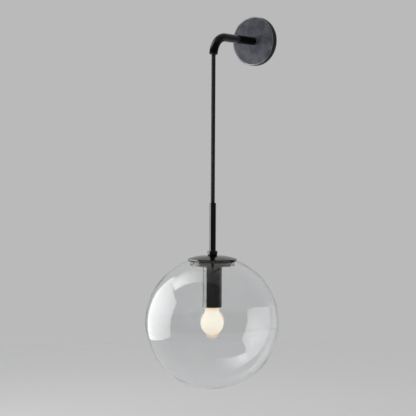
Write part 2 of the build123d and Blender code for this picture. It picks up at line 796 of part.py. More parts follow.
globe_clips.part.label = "globe_clips"
export_step(globe_clips.part, "parts/globe_clips.step")

# Rivets that fix the clips, flush with the pan's upper side.
rivet_top = dome_z(rivet_radius_at + rivet_diameter / 2, pan_inset)
foot_share = (rivet_radius_at + rivet_head_diameter / 2 - clip_foot_radius) / (
    clip_leaf_radius - clip_foot_radius
)
foot_under_head = clip_foot_z + foot_share * (clip_shoulder_z - clip_foot_z)
rivet_low = foot_under_head - clip_thickness - thread_fit
with BuildPart() as clip_rivets:
    with BuildSketch(level(rivet_low)):
        with PolarLocations(rivet_radius_at, clip_count, start_angle=clip_first_angle):
            Circle(rivet_diameter / 2)
    extrude(amount=rivet_top - rivet_low)
    with BuildSketch(level(rivet_low)):
        with PolarLocations(rivet_radius_at, clip_count, start_angle=clip_first_angle):
            Circle(rivet_head_diameter / 2)
    extrude(amount=-rivet_head_height)
clip_rivets.part.label = "clip_rivets"
export_step(clip_rivets.part, "parts/clip_rivets.step")

# Clear plastic band on the pan's skirt, which keeps the glass off the metal.
gasket_top = dome_z(pan_radius + gasket_thickness, pan_inset) - 2 * thread_fit
with BuildPart() as glass_gasket:
    with BuildSketch(level(gasket_top - gasket_height)):
        Circle(pan_radius + thread_fit + gasket_thickness)
        Circle(pan_radius + thread_fit, mode=Mode.SUBTRACT)
    extrude(amount=gasket_height)
glass_gasket.part.label = "glass_gasket"
export_step(glass_gasket.part, "parts/glass_gasket.step")

# Threaded tube that pulls the stem, collar, cap, pan and sleeve together.
with BuildPart() as hanger_nipple:
    with BuildSketch(level(hanger_nipple_bottom)):
        Circle(nipple_radius)
        Circle(nipple_bore_radius, mode=Mode.SUBTRACT)
    extrude(amount=hanger_nipple_length)
hanger_nipple.part.label = "hanger_nipple"
export_step(hanger_nipple.part, "parts/hanger_nipple.step")

# Spacer ring between the pan and the sleeve.
with BuildPart() as sleeve_spacer:
    with BuildSketch(level(sleeve_top)):
        Circle(spacer_diameter / 2)
        Circle(nipple_hole_radius, mode=Mode.SUBTRACT)
    extrude(amount=spacer_thickness)
sleeve_spacer.part.label = "sleeve_spacer"
export_step(sleeve_spacer.part, "parts/sleeve_spacer.step")

# Toothed washer inside the sleeve.
with BuildPart() as hanger_washer:
    with BuildSketch(level(hanger_nut_top)):
        Circle(washer_diameter / 2)
        Circle(nipple_hole_radius, mode=Mode.SUBTRACT)
        with PolarLocations(washer_diameter / 2, washer_teeth):
            Rectangle(2 * washer_notch_depth, washer_notch_width, mode=Mode.SUBTRACT)
    extrude(amount=washer_thickness)
hanger_washer.part.label = "hanger_washer"
export_step(hanger_washer.part, "parts/hanger_washer.step")

# Hexagon nut that clamps the stack.
with BuildPart() as hanger_nut:
    with BuildSketch(level(hanger_nut_top - hanger_nut_thickness)):
        RegularPolygon(nut_across_flats / 2, 6, major_radius=False)
        Circle(nipple_hole_radius, mode=Mode.SUBTRACT)
    extrude(amount=hanger_nut_thickness)
hanger_nut.part.label = "hanger_nut"
export_step(hanger_nut.part, "parts/hanger_nut.step")

# Drawn steel sleeve that hides the lampholder, open at the bottom.
with BuildPart() as socket_sleeve:
    with BuildSketch(section()):
        with BuildLine():
            Polyline(
                (nipple_hole_radius, sleeve_top),
                (sleeve_radius, sleeve_top),
                (sleeve_radius, sleeve_bottom),
                (sleeve_bore_radius, sleeve_bottom),
                (sleeve_bore_radius, sleeve_top - sleeve_wall),
                (nipple_hole_radius, sleeve_top - sleeve_wall),
                close=True,
            )
        make_face()
    revolve(axis=hang_axis)
socket_sleeve.part.label = "socket_sleeve"
export_step(socket_sleeve.part, "parts/socket_sleeve.step")

# Moulded top of the lampholder, screwed on the hanger nipple.
with BuildPart() as holder_cap:
    with BuildSketch(section()):
        with BuildLine():
            Polyline(
                (nipple_hole_radius, holder_cap_z),
                (holder_radius - holder_cap_wall, holder_cap_z),
                (holder_radius, holder_cap_z - holder_cap_wall),
                (holder_radius, holder_body_top),
                (holder_radius - holder_cap_wall, holder_body_top),
                (holder_radius - holder_cap_wall, holder_cap_z - holder_cap_top),
                (nipple_hole_radius, holder_cap_z - holder_cap_top),
                close=True,
            )
        make_face()
    revolve(axis=hang_axis)
holder_cap.part.label = "holder_cap"
export_step(holder_cap.part, "parts/holder_cap.step")

# Moulded body of the lampholder, with the bore for the screw shell and two tapped lead holes.
with BuildPart() as holder_body:
    with BuildSketch(level(holder_body_bottom)):
        Circle(holder_radius)
    extrude(amount=holder_body_height)
    with BuildSketch(level(holder_body_bottom)):
        Circle(holder_bore_radius)
    extrude(amount=holder_bore_depth, mode=Mode.SUBTRACT)
    with BuildSketch(level(holder_body_top)):
        with GridLocations(2 * lead_spread, 0, 2, 1):
            Circle(lead_screw_diameter / 2 + thread_fit)
    extrude(amount=-lead_screw_length, mode=Mode.SUBTRACT)
holder_body.part.label = "holder_body"
export_step(holder_body.part, "parts/holder_body.step")

# Brass screw shell of the lampholder.
with BuildPart() as holder_shell:
    with BuildSketch(level(holder_body_bottom)):
        Circle(holder_shell_radius + holder_shell_wall)
        Circle(holder_shell_radius, mode=Mode.SUBTRACT)
    extrude(amount=holder_bore_depth)
holder_shell.part.label = "holder_shell"
export_step(holder_shell.part, "parts/holder_shell.step")

# Sprung brass tongue that feeds the lamp's centre contact.
tongue_end = holder_shell_radius - contact_foot_inset
tongue_bend = base_contact_diameter / 2 + contact_foot_inset
with BuildPart() as centre_contact:
    with BuildSketch(section()):
        with BuildLine():
            Polyline(
                (-tongue_end, holder_floor),
                (-tongue_end, holder_floor - contact_thickness),
                (-tongue_bend, holder_floor - contact_thickness),
                (-contact_width / 2, contact_face),
                (contact_width / 2, contact_face),
                (contact_width / 2, contact_face + contact_thickness),
                (-contact_width / 2, contact_face + contact_thickness),
                (-tongue_bend, holder_floor),
                close=True,
            )
        make_face()
    extrude(amount=contact_width / 2, both=True)
centre_contact.part.label = "centre_contact"
export_step(centre_contact.part, "parts/centre_contact.step")

# Two lead screws in the top of the lampholder's body.
with BuildPart() as lead_screws:
    with BuildSketch(level(holder_body_top)):
        with GridLocations(2 * lead_spread, 0, 2, 1):
            Circle(lead_screw_diameter / 2)
    extrude(amount=-lead_screw_length)
    with BuildSketch(level(holder_body_top)):
        with GridLocations(2 * lead_spread, 0, 2, 1):
            Circle(lead_screw_head / 2)
    extrude(amount=lead_head_top - holder_body_top)
lead_screws.part.label = "lead_screws"
export_step(lead_screws.part, "parts/lead_screws.step")

# Two insulated leads from the cord's end to those screws.
lead_parting = stem_cord_end - lead_straight
with BuildPart() as lamp_leads:
    for side in (1, -1):
        with BuildLine(section()):
            lead_path = FilletPolyline(
                (side * core_spread, stem_cord_end),
                (side * core_spread, lead_parting),
                (side * lead_spread, lead_parting - lead_part_drop),
                (side * lead_spread, lead_head_top),
                radius=lead_bend,
            )
        with BuildSketch(Plane(origin=lead_path @ 0, z_dir=lead_path % 0)):
            Circle(core_radius)
        sweep(path=lead_path)
lamp_leads.part.label = "lamp_leads"
export_step(lamp_leads.part, "parts/lamp_leads.step")

# ============================================================ lamp

# Solder dot at the very end of the lamp's base.
with BuildPart() as lamp_contact:
    with BuildSketch(level(lamp_contact_low)):
        Circle(base_contact_diameter / 2)
    extrude(amount=base_contact_height)
    chamfer(lamp_contact.edges().group_by(Axis.Z)[-1], base_contact_height / 2)
lamp_contact.part.label = "lamp_contact"
export_step(lamp_contact.part, "parts/lamp_contact.step")

# Black glass insulator between the dot and the shell.
with BuildPart() as lamp_insulator:
    with BuildSketch(section()):
        with BuildLine():
            Polyline(
                (0, lamp_contact_low),
                (base_contact_diameter / 2, lamp_contact_low),
                (base_shoulder_diameter / 2, lamp_insulator_low),
                (0, lamp_insulator_low),
                close=True,
            )
        make_face()
    revolve(axis=hang_axis)
lamp_insulator.part.label = "lamp_insulator"
export_step(lamp_insulator.part, "parts/lamp_insulator.step")

# Plated brass shell of the lamp's base.
shoulder_radius = base_shoulder_diameter / 2
with BuildPart() as lamp_base:
    with BuildSketch(section()):
        with BuildLine():
            Polyline(
                (shoulder_radius - base_wall, lamp_insulator_low),
                (shoulder_radius, lamp_insulator_low),
                (base_radius, lamp_shoulder_low),
                (base_radius, lamp_base_bottom),
                (base_radius - base_wall, lamp_base_bottom),
                (base_radius - base_wall, lamp_shoulder_low),
                close=True,
            )
        make_face()
    revolve(axis=hang_axis)
lamp_base.part.label = "lamp_base"
export_step(lamp_base.part, "parts/lamp_base.step")

# Frosted glass bulb: a ball that runs through a hollow flank into the straight neck in the base.
lamp_inner_neck = lamp_neck_radius - lamp_glass_wall
outer = lamp_outline()
inner = lamp_outline(lamp_glass_wall)
with BuildPart() as lamp_glass:
    with BuildSketch(section()):
        with BuildLine():
            ThreePointArc(outer[0], outer[1], outer[2])
            TangentArc(outer[3], outer[2], tangent=(0, -1))
            Polyline(outer[3], outer[4], inner[4], inner[3])
            TangentArc(inner[3], inner[2], tangent=(0, -1))
            ThreePointArc(inner[2], inner[1], inner[0])
            Line(inner[0], outer[0])
        make_face()
    revolve(axis=hang_axis)
lamp_glass.part.label = "lamp_glass"
export_step(lamp_glass.part, "parts/lamp_glass.step")

# Glass flare and tube inside the neck, which carries the filament's wires.
with BuildPart() as lamp_mount:
    with BuildSketch(level(lamp_neck_top)):
        Circle(lamp_inner_neck - thread_fit)
    extrude(amount=-mount_flare_thickness)
    with BuildSketch(level(lamp_neck_top)):
        Circle(mount_tube_diameter / 2)
    extrude(amount=-mount_length)
lamp_mount.part.label = "lamp_mount"
export_step(lamp_mount.part, "parts/lamp_mount.step")

# Coiled filament on two support wires.
support_x = filament_length / 2 - filament_diameter / 2
with BuildPart() as lamp_filament:
    for side in (1, -1):
        with BuildLine(section()):
            wire_path = Polyline(
                (side * mount_tube_diameter / 4, filament_z + support_wire_length + wire_in_mount),
                (side * support_x, filament_z),
            )
        with BuildSketch(Plane(origin=wire_path @ 0, z_dir=wire_path % 0)):
            Circle(support_wire_diameter / 2)
        sweep(path=wire_path)
    with BuildSketch(Plane.YZ.offset(-filament_length / 2)):
        with Locations((-pendant_reach, filament_z)):
            Circle(filament_diameter / 2)
    extrude(amount=filament_length)
lamp_filament.part.label = "lamp_filament"
export_step(lamp_filament.part, "parts/lamp_filament.step")

# ============================================================ globe

# Blown clear glass globe with a ground hole at the top.
with BuildPart() as glass_globe:
    with BuildSketch(section()):
        with BuildLine():
            ThreePointArc(
                (globe_hole_radius, globe_hole_top),
                (globe_radius, globe_centre_z),
                (0, globe_centre_z - globe_radius),
            )
            Line((0, globe_centre_z - globe_radius), (0, globe_centre_z - globe_inner_radius))
            ThreePointArc(
                (0, globe_centre_z - globe_inner_radius),
                (globe_inner_radius, globe_centre_z),
                (globe_hole_radius, globe_hole_under),
            )
            Line((globe_hole_radius, globe_hole_under), (globe_hole_radius, globe_hole_top))
        make_face()
    revolve(axis=hang_axis)
glass_globe.part.label = "glass_globe"
export_step(glass_globe.part, "parts/glass_globe.step")

print("free cord", free_cord_length, "mm; bend of the cord in the arm", arm_bend_radius, "mm")
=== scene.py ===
import math

import bmesh
import bpy
import numpy as np
from mathutils import Matrix, Vector


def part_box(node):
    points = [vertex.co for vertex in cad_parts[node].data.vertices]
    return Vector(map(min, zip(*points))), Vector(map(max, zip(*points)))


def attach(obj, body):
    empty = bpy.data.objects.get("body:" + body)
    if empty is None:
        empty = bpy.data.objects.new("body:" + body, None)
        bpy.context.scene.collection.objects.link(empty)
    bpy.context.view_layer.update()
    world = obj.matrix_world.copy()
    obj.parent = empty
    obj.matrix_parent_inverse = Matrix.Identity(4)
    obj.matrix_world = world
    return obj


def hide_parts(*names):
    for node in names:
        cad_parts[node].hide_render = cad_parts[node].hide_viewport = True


# Looks of the hanging pendant wall sconce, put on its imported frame. Metres. The wall is the plane
# Y = 0, the lamp stands out towards -Y and +Z is up. The pendant hangs on one upright line.
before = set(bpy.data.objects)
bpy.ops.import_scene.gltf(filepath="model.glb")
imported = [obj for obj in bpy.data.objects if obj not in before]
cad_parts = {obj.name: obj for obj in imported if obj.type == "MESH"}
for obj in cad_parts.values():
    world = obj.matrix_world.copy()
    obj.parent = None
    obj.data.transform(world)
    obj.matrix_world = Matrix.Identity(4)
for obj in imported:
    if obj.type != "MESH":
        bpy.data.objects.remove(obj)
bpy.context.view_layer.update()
hang_y = (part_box("stem_tube")[0].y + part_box("stem_tube")[1].y) / 2

# ============================================================ camera
# The view looks at the wall from its right through a long lens, level with the lower part of the
# cord. It points a little down, and is rolled by a third of a degree.
view_azimuth = math.radians(36.11)
view_dip = math.radians(2.23)
view_roll = math.radians(0.3)
view_distance = 2.424
view_height = -0.2252
view_aside = -0.0088
lens_mm = 112.5

ahead = Vector((-math.sin(view_azimuth), math.cos(view_azimuth), 0))
rightward = Vector((math.cos(view_azimuth), math.sin(view_azimuth), 0))
eye = Vector((0, hang_y, view_height)) - view_distance * ahead + view_aside * rightward
camera = bpy.data.objects.new("camera", bpy.data.cameras.new("camera"))
camera.data.lens = lens_mm
camera.matrix_world = (
    Matrix.Translation(eye)
    @ Matrix.Rotation(view_azimuth, 4, "Z")
    @ Matrix.Rotation(math.pi / 2 - view_dip, 4, "X")
    @ Matrix.Rotation(view_roll, 4, "Z")
)
bpy.context.scene.collection.objects.link(camera)
bpy.context.scene.camera = camera

# ============================================================ wall bracket
# Crossbar pressed from zinc plated sheet, with two slots for the wall screws. The terminal block
# and the earth screw are fixed to it, and set screws in black oxide hold the backplate on its tabs.
zinc_bright = (0.66, 0.67, 0.70, 1)
zinc_dull = (0.42, 0.42, 0.43, 1)
zinc_tint = (0.66, 0.60, 0.42, 1)
spangle_size = 0.0035
tint_patch = 0.011
scratch_stretch = (900, 60, 90)
scratch_depth = 0.000008
oxide_black = (0.022, 0.022, 0.024, 1)
oxide_rubbed = (0.13, 0.125, 0.12, 1)
rubbed_patch = 0.0016
oxide_grain = 0.0003
oxide_depth = 0.000006


class Wire:
    """The output of a node; the operators +, - and * add the Math nodes that they stand for."""

    def __init__(self, finish, socket):
        self.finish = finish
        self.socket = socket

    def __add__(self, other):
        return self.finish.node("Math", {0: self, 1: other}, operation="ADD")

    def __sub__(self, other):
        return self.finish.node("Math", {0: self, 1: other}, operation="SUBTRACT")

    def __rsub__(self, other):
        return self.finish.node("Math", {0: other, 1: self}, operation="SUBTRACT")

    def __mul__(self, other):
        return self.finish.node("Math", {0: self, 1: other}, operation="MULTIPLY")

    __radd__ = __add__
    __rmul__ = __mul__


class Finish:
    """The nodes of a material, or of the studio's world, while they are written."""

    def __init__(self, owner):
        owner.use_nodes = True
        self.owner = owner
        self.tree = owner.node_tree
        self.tree.nodes.clear()

    def node(self, kind, sockets, output=0, **settings):
        """Adds a node, sets its settings and then its sockets, and gives back one output."""
        made = self.tree.nodes.new("ShaderNode" + kind)
        for name, value in settings.items():
            setattr(made, name, value)
        for key, value in sockets.items():
            if isinstance(value, Wire):
                self.tree.links.new(value.socket, made.inputs[key])
            else:
                made.inputs[key].default_value = value
        return Wire(self, made.outputs[output]) if made.outputs else made

    def place(self, scale=(1, 1, 1)):
        """Object coordinates, metres in the sconce's own frame, each multiplied by its scale."""
        where = self.node("TexCoord", {}, output="Object")
        return self.node("VectorMath", {0: where, 1: scale}, operation="MULTIPLY")

    def axis(self, name):
        """One of the object coordinates X, Y and Z."""
        return self.node("SeparateXYZ", {0: self.place()}, output=name)

    def away(self, centre, across=(1, 1, 1)):
        """Distance from a point, or from a line or plane where across has noughts."""
        where = self.node("VectorMath", {0: self.place(), 1: centre}, operation="SUBTRACT")
        where = self.node("VectorMath", {0: where, 1: across}, operation="MULTIPLY")
        return self.node("VectorMath", {0: where}, output="Value", operation="LENGTH")

    def cloud(self, size, detail=3.0, stretch=None):
        """Noise from 0 to 1, in blotches about size metres wide, or stretched to suit a grain."""
        where = self.place(stretch or (1 / size,) * 3)
        return self.node("TexNoise", {"Vector": where, "Scale": 1.0, "Detail": detail})

    def ramp(self, value, low, high, first=0.0, last=1.0):
        """Goes smoothly from first, where value is low, to last, where it is high."""
        sockets = {"Value": value, 1: low, 2: high, 3: first, 4: last}
        return self.node("MapRange", sockets, interpolation_type="SMOOTHSTEP")

    def tint(self, share, first, second):
        """Colour that goes from first to second as share goes from 0 to 1."""
        return self.node("Mix", {0: share, 6: first, 7: second}, output=2, data_type="RGBA")

    def shade(self, sockets, height=None, depth=0.0):
        """Ends the material in a Principled shader; height 0 to 1 is a relief depth metres deep."""
        if height is not None:
            bump = self.node("Bump", {"Height": height, "Distance": depth})
            sockets = {**sockets, "Normal": bump}
        self.node("OutputMaterial", {"Surface": self.node("BsdfPrincipled", sockets)})
        return self.owner


def zinc():
    """Bright zinc: grey crystals, a straw tint in patches, and fine drawing scratches."""
    finish = Finish(bpy.data.materials.new("zinc_steel"))
    crystals = finish.node("TexVoronoi", {"Vector": finish.place(), "Scale": 1 / spangle_size})
    patches = finish.cloud(tint_patch, 4.0)
    scratches = finish.cloud(0, 2.0, scratch_stretch)
    dull = finish.ramp(patches + crystals * 0.3, 0.45, 0.85)
    grey = finish.tint(dull, zinc_bright, zinc_dull)
    sockets = {
        "Base Color": finish.tint(finish.ramp(patches, 0.6, 0.8) * 0.3, grey, zinc_tint),
        "Metallic": 1.0,
        "Roughness": 0.26 + dull * 0.16 + scratches * 0.08,
    }
    return finish.shade(sockets, scratches + crystals * 0.4, scratch_depth)


def black_oxide():
    """Oil-dipped black oxide, rubbed grey in small patches."""
    finish = Finish(bpy.data.materials.new("black_steel"))
    rubbed = finish.ramp(finish.cloud(rubbed_patch, 4.0), 0.55, 0.8)
    grain = finish.cloud(oxide_grain, 2.0)
    sockets = {
        "Base Color": finish.tint(rubbed * 0.5, oxide_black, oxide_rubbed),
        "Metallic": 0.9,
        "Roughness": 0.34 + grain * 0.16,
    }
    return finish.shade(sockets, grain, oxide_depth)


def dress(finish, *nodes):
    """Gives CAD nodes this finish in place of the plain one that they are packed with."""
    for name in nodes:
        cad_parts[name].data.materials.clear()
        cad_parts[name].data.materials.append(finish)


zinc_plate = zinc()
screw_black = black_oxide()
dress(zinc_plate, "wall_bracket")
dress(screw_black, "rim_screws")

# ============================================================ terminal block and earth screw
# White nylon block with brass tubes and four clamping screws for the supply wires, and a slotted
# brass screw with a ring tag for the earth wire, both on the bracket behind the backplate.
nylon_white = (0.78, 0.775, 0.74, 1)
nylon_yellowed = (0.70, 0.67, 0.58, 1)
brass_bright = (0.80, 0.60, 0.27, 1)
brass_tarnish = (0.38, 0.25, 0.11, 1)
flow_patch = 0.009
tarnish_patch = 0.005
brass_grain = 0.0002
brass_depth = 0.000008


def moulded(name, fresh, aged, shine, grain=0.00025):
    """Moulded plastic: faint flow clouds and a fine spark-eroded grain."""
    finish = Finish(bpy.data.materials.new(name))
    flow = finish.cloud(flow_patch, 3.0)
    pits = finish.cloud(grain, 2.0)
    sockets = {
        "Base Color": finish.tint(finish.ramp(flow, 0.4, 0.75), fresh, aged),
        "Roughness": finish.ramp(flow * 0.6 + pits * 0.4, 0.3, 0.75, *shine),
    }
    return finish.shade(sockets, pits, grain / 25)


def brass():
    """Satin brass: tarnish in clouds over a fine grain."""
    finish = Finish(bpy.data.materials.new("brass"))
    tarnish = finish.ramp(finish.cloud(tarnish_patch, 5.0), 0.48, 0.78)
    marks = finish.cloud(brass_grain, 2.0)
    sockets = {
        "Base Color": finish.tint(tarnish * 0.7, brass_bright, brass_tarnish),
        "Metallic": 1.0,
        "Roughness": 0.24 + tarnish * 0.2,
    }
    return finish.shade(sockets, marks, brass_depth)


bright_brass = brass()
dress(moulded("white_nylon", nylon_white, nylon_yellowed, (0.42, 0.6)), "terminal_block")
dress(zinc_plate, "terminal_screws", "terminal_fixing", "earth_tag")
dress(bright_brass, "earth_screw")

# ============================================================ arm
# Steel tube bent on a mandrel and plated black. Inside its root is a brazed plug, and a nipple
# with a 10 mm fine thread, a toothed washer and a nut hold it to the backplate.
# Painted shade: the arm's copy of the black plating is darker than the stem's, so that the arm
# stays black among pale reflections of the backdrop
arm_shaded_black = (0.045, 0.045, 0.047, 1)
arm_shaded_worn = (0.060, 0.059, 0.056, 1)
nylon_black = (0.018, 0.018, 0.019, 1)
nylon_greyed = (0.032, 0.031, 0.03, 1)
plating_patch = 0.028
plating_ripple = 0.0017
ripple_depth = 0.000003
nipple_pitch = 0.001
nipple_bore = 0.004
thread_depth = 0.00045


def plating(name, shine, wear, dark, pale):
    """Black nickel plate: deep and glossy, hazed by handling in patches, with faint ripples."""
    finish = Finish(bpy.data.materials.new(name))
    patches = finish.cloud(plating_patch, 5.0)
    ripples = finish.cloud(plating_ripple, 1.0)
    hazed = finish.ramp(patches, 0.42, 0.8)
    sockets = {
        "Base Color": finish.tint(hazed * wear, dark, pale),
        "Metallic": 1.0,
        "Roughness": finish.ramp(hazed + ripples * 0.1, 0.0, 1.0, *shine),
    }
    return finish.shade(sockets, ripples, ripple_depth)


def mesh_of(name, *grids, wrap=(True, True), crease=None):
    """Mesh of quads over grids of (rows, columns, 3) points, merged where they meet.

    wrap joins the last row to the first, and the last column to the first. Rows that shrink to
    one point close an end. The faces are turned outwards, and crease is in degrees.
    """
    points, quads, spread, base = [], [], [], 0
    for grid in grids:
        rows, columns = grid.shape[:2]
        row, column = np.meshgrid(
            np.arange(rows - (not wrap[0])), np.arange(columns - (not wrap[1])), indexing="ij"
        )
        row = np.stack([row, row, row + 1, row + 1], -1).reshape(-1, 4)
        column = np.stack([column, column + 1, column + 1, column], -1).reshape(-1, 4)
        quads.append(base + row % rows * columns + column % columns)
        spread.append(np.stack([column / columns, row / rows], -1).reshape(-1, 2))
        points.append(grid.reshape(-1, 3))
        base += rows * columns
    mesh = bpy.data.meshes.new(name)
    mesh.from_pydata(np.concatenate(points), [], np.concatenate(quads))
    surface = mesh.uv_layers.new(name="surface")
    surface.data.foreach_set("uv", np.concatenate(spread).astype(np.float32).ravel())
    shape = bmesh.new()
    shape.from_mesh(mesh)
    bmesh.ops.remove_doubles(shape, verts=shape.verts, dist=1e-7)
    bmesh.ops.recalc_face_normals(shape, faces=shape.faces)
    shape.to_mesh(mesh)
    shape.free()
    mesh.shade_smooth()
    if crease:
        mesh.set_sharp_from_angle(angle=math.radians(crease))
    return mesh


def piece(mesh, finish, slot, body, *nodes):
    """Adds a mesh as a piece that rides on a body and stands for CAD nodes."""
    made = bpy.data.objects.new(mesh.name, mesh)
    mesh.materials.append(finish)
    bpy.context.scene.collection.objects.link(made)
    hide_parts(*nodes)
    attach(made, body)
    return made


def threaded_tube(start, way, length, radius, bore, pitch, depth, columns=36, steps=8):
    """Tube with an outside thread.

    At run s and angle a the radius is that of the crest less depth times the square of the sine
    of (pi s / pitch - a / 2), and a chamfer takes it down to the root at both ends.
    """
    way = np.array(way, float)
    side = np.array([1.0, 0, 0])
    front = np.cross(way, side)
    run = np.linspace(0, length, int(length / pitch * steps) + 1)[:, None]
    angle = np.linspace(0, 2 * np.pi, columns, endpoint=False)[None]
    ends = np.minimum(np.minimum(run, length - run) / depth, 1)
    outer = radius - depth * (1 - ends * np.cos(np.pi * run / pitch - angle / 2) ** 2)
    radii = np.concatenate([outer, np.full((2, columns), bore)])
    runs = np.concatenate([run, [[length], [0]]])
    around = side * np.cos(angle)[..., None] + front * np.sin(angle)[..., None]
    return np.array(start) + runs[..., None] * way + radii[..., None] * around


arm_shaded_plating = plating("arm_metal", (0.07, 0.17), 0.6, arm_shaded_black, arm_shaded_worn)
black_nylon = moulded("black_nylon", nylon_black, nylon_greyed, (0.4, 0.6))
dress(arm_shaded_plating, "arm_tube")
dress(zinc_plate, "arm_insert", "arm_washer", "arm_nut")
dress(black_nylon, "tip_bush")
lo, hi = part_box("arm_nipple")
arm_thread = threaded_tube(
    (0, hi.y, 0), (0, -1, 0), hi.y - lo.y, hi.x, nipple_bore, nipple_pitch, thread_depth
)
arm_nipple = mesh_of("arm_thread", arm_thread, crease=50)
piece(arm_nipple, zinc_plate, "zinc_steel", "fixture", "arm_nipple")

# ============================================================ backplate
# Steel dish, spun and finished gunmetal grey and cloudy on its flat front. Its rim is darkened as
# painted shade, and a painted highlight runs along its front edge. The arm's nut clamps it, and the
# rim screws hold it.
plate_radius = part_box("backplate")[1].x
plate_depth = -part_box("backplate")[0].y
plate_grey = (0.084, 0.086, 0.102, 1)
plate_pale = (0.150, 0.153, 0.172, 1)
# Painted shade: the rim's dark colour stands for the shadow on the plate's side
plate_rim_shade = (0.022, 0.022, 0.026, 1)
# Painted highlight: a pale metal colour that stands for light caught on the rounded front edge
plate_edge_highlight = (0.40, 0.41, 0.43, 1)
plate_edge = 0.0014
plate_cloud = 0.019
plate_speck = 0.0013
brush_stretch = (160, 160, 1800)
grain_depth = 0.00001
plate_bevel = 0.0034
bevel_drop = 0.001


def gunmetal():
    """Patina: large soft clouds and small specks, a painted shade on the rim, and a rounded edge
    with a painted highlight.
    """
    finish = Finish(bpy.data.materials.new("grey_plate"))
    clouds = finish.cloud(plate_cloud, 6.0)
    specks = finish.cloud(plate_speck, 3.0)
    brushed = finish.cloud(0, 2.0, brush_stretch)
    from_axis = finish.away((0, 0, 0), (1, 0, 1))
    behind = finish.axis("Y") + plate_depth
    # Mask of the plate's side behind its front face, where the painted shade darkens it
    rim = finish.ramp(behind, plate_edge * 0.5, plate_edge * 1.2)
    bevel = finish.ramp(from_axis, plate_radius - plate_bevel, plate_radius)
    # The band along the front edge where the painted highlight is mixed in; it is also made
    # glossier
    line = finish.ramp(bevel, 0.2, 0.5) * (1 - rim)
    patina = finish.ramp(clouds * 0.8 + specks * 0.2, 0.36, 0.66)
    tone = finish.tint(rim, finish.tint(patina, plate_grey, plate_pale), plate_rim_shade)
    # How strongly the painted highlight shows, in clouds
    edge_highlight_strength = finish.ramp(clouds, 0.3, 0.6, 0.2, 0.6)
    rough = finish.ramp(clouds + specks * 0.3, 0.4, 0.9, 0.36, 0.56)
    sockets = {
        "Base Color": finish.tint(line * edge_highlight_strength, tone, plate_edge_highlight),
        "Metallic": 0.75,
        "Roughness": rough - line * 0.22,
    }
    grain = (specks + brushed * 0.5) * (grain_depth / bevel_drop)
    return finish.shade(sockets, grain - bevel, bevel_drop)


dress(gunmetal(), "backplate")

# ============================================================ cord
# Round flex of three insulated cores in a black textile braid. It comes through the arm, hangs
# dead straight between the arm's mouth and the stem, and runs on down to the lampholder.
cord_diameter = 0.0078
cord_length = 0.2798
exit_gap = 0.00297
cord_exit = Vector((0, hang_y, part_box("arm_cord")[0].z - exit_gap))
arm_bend = 0.0365
arm_turn = math.radians(80)
carriers = 10
braid_pitch = 0.027
braid_step = 0.00054
hidden_step = 0.0009
yarn_thick = 0.00042
yarn_wave = 0.00013
yarn_fill = 0.97
yarn_sides = 6
liner_step = 0.004
liner_sides = 20
arm_end_gap = 0.0005
braid_black = (0.006, 0.006, 0.0065, 1)
braid_worn = (0.020, 0.0195, 0.019, 1)
yarn_fuzz = 0.0007
thread_relief = 0.00007
knuckle_relief = 0.0003


def textile():
    """Polyester yarn: fine threads along each carrier, dull and dark, with a soft sheen."""
    finish = Finish(bpy.data.materials.new("braided_cord"))
    across = finish.node("TexCoord", {}, output="UV")
    threads = finish.node("TexWave", {"Vector": across, "Scale": 4.0, "Distortion": 0.4})
    fuzz = finish.cloud(yarn_fuzz, 3.0)
    worn = finish.ramp(fuzz + threads * 0.3, 0.4, 1.1)
    sockets = {
        "Base Color": finish.tint(worn, braid_black, braid_worn),
        "Roughness": finish.ramp(fuzz, 0.3, 0.8, 0.34, 0.52),
        "Sheen Weight": 0.06,
        "Sheen Roughness": 0.35,
    }
    return finish.shade(sockets, threads + fuzz, thread_relief)


def spline_line(points):
    """Points along the NURBS spline that has these points as its controls."""
    curve = bpy.data.curves.new("route", "CURVE")
    curve.dimensions = "3D"
    curve.resolution_u = 24
    spline = curve.splines.new("NURBS")
    spline.points.add(len(points) - 1)
    spline.points.foreach_set("co", np.array([(*point, 1) for point in points]).ravel())
    spline.order_u = 3
    spline.use_endpoint_u = True
    holder = bpy.data.objects.new("route", curve)
    mesh = bpy.data.meshes.new_from_object(holder)
    line = np.empty(len(mesh.vertices) * 3)
    mesh.vertices.foreach_get("co", line)
    bpy.data.objects.remove(holder)
    bpy.data.curves.remove(curve)
    bpy.data.meshes.remove(mesh)
    return line.reshape(-1, 3)


def along(line, step, across):
    """Even spots on a line, with two unit vectors square to it, the first nearest to across."""
    lengths = np.r_[0, np.cumsum(np.linalg.norm(np.diff(line, axis=0), axis=1))]
    run = np.linspace(0, lengths[-1], max(int(lengths[-1] / step), 2) + 1)
    spots = np.stack([np.interp(run, lengths, line[:, n]) for n in range(3)], -1)
    ways = np.gradient(spots, run, axis=0)
    ways /= np.linalg.norm(ways, axis=1, keepdims=True)
    side = np.array(across, float) - (ways @ across)[:, None] * ways
    side /= np.linalg.norm(side, axis=1, keepdims=True)
    return spots, side, np.cross(ways, side), run


def tube(line, radius, step, across, columns=16):
    """Closed tube: each spot of a line plus radius times the cosine and sine of its two sides."""
    spots, side, front, _ = along(line, step, across)
    angle = np.linspace(0, 2 * np.pi, columns, endpoint=False)[None, :, None]
    around = side[:, None] * np.cos(angle) + front[:, None] * np.sin(angle)
    ring = spots[:, None] + radius * around
    ends = np.broadcast_to(spots[[0, -1], None], (2, columns, 3))
    return np.concatenate([ends[:1], ring, ends[1:]])


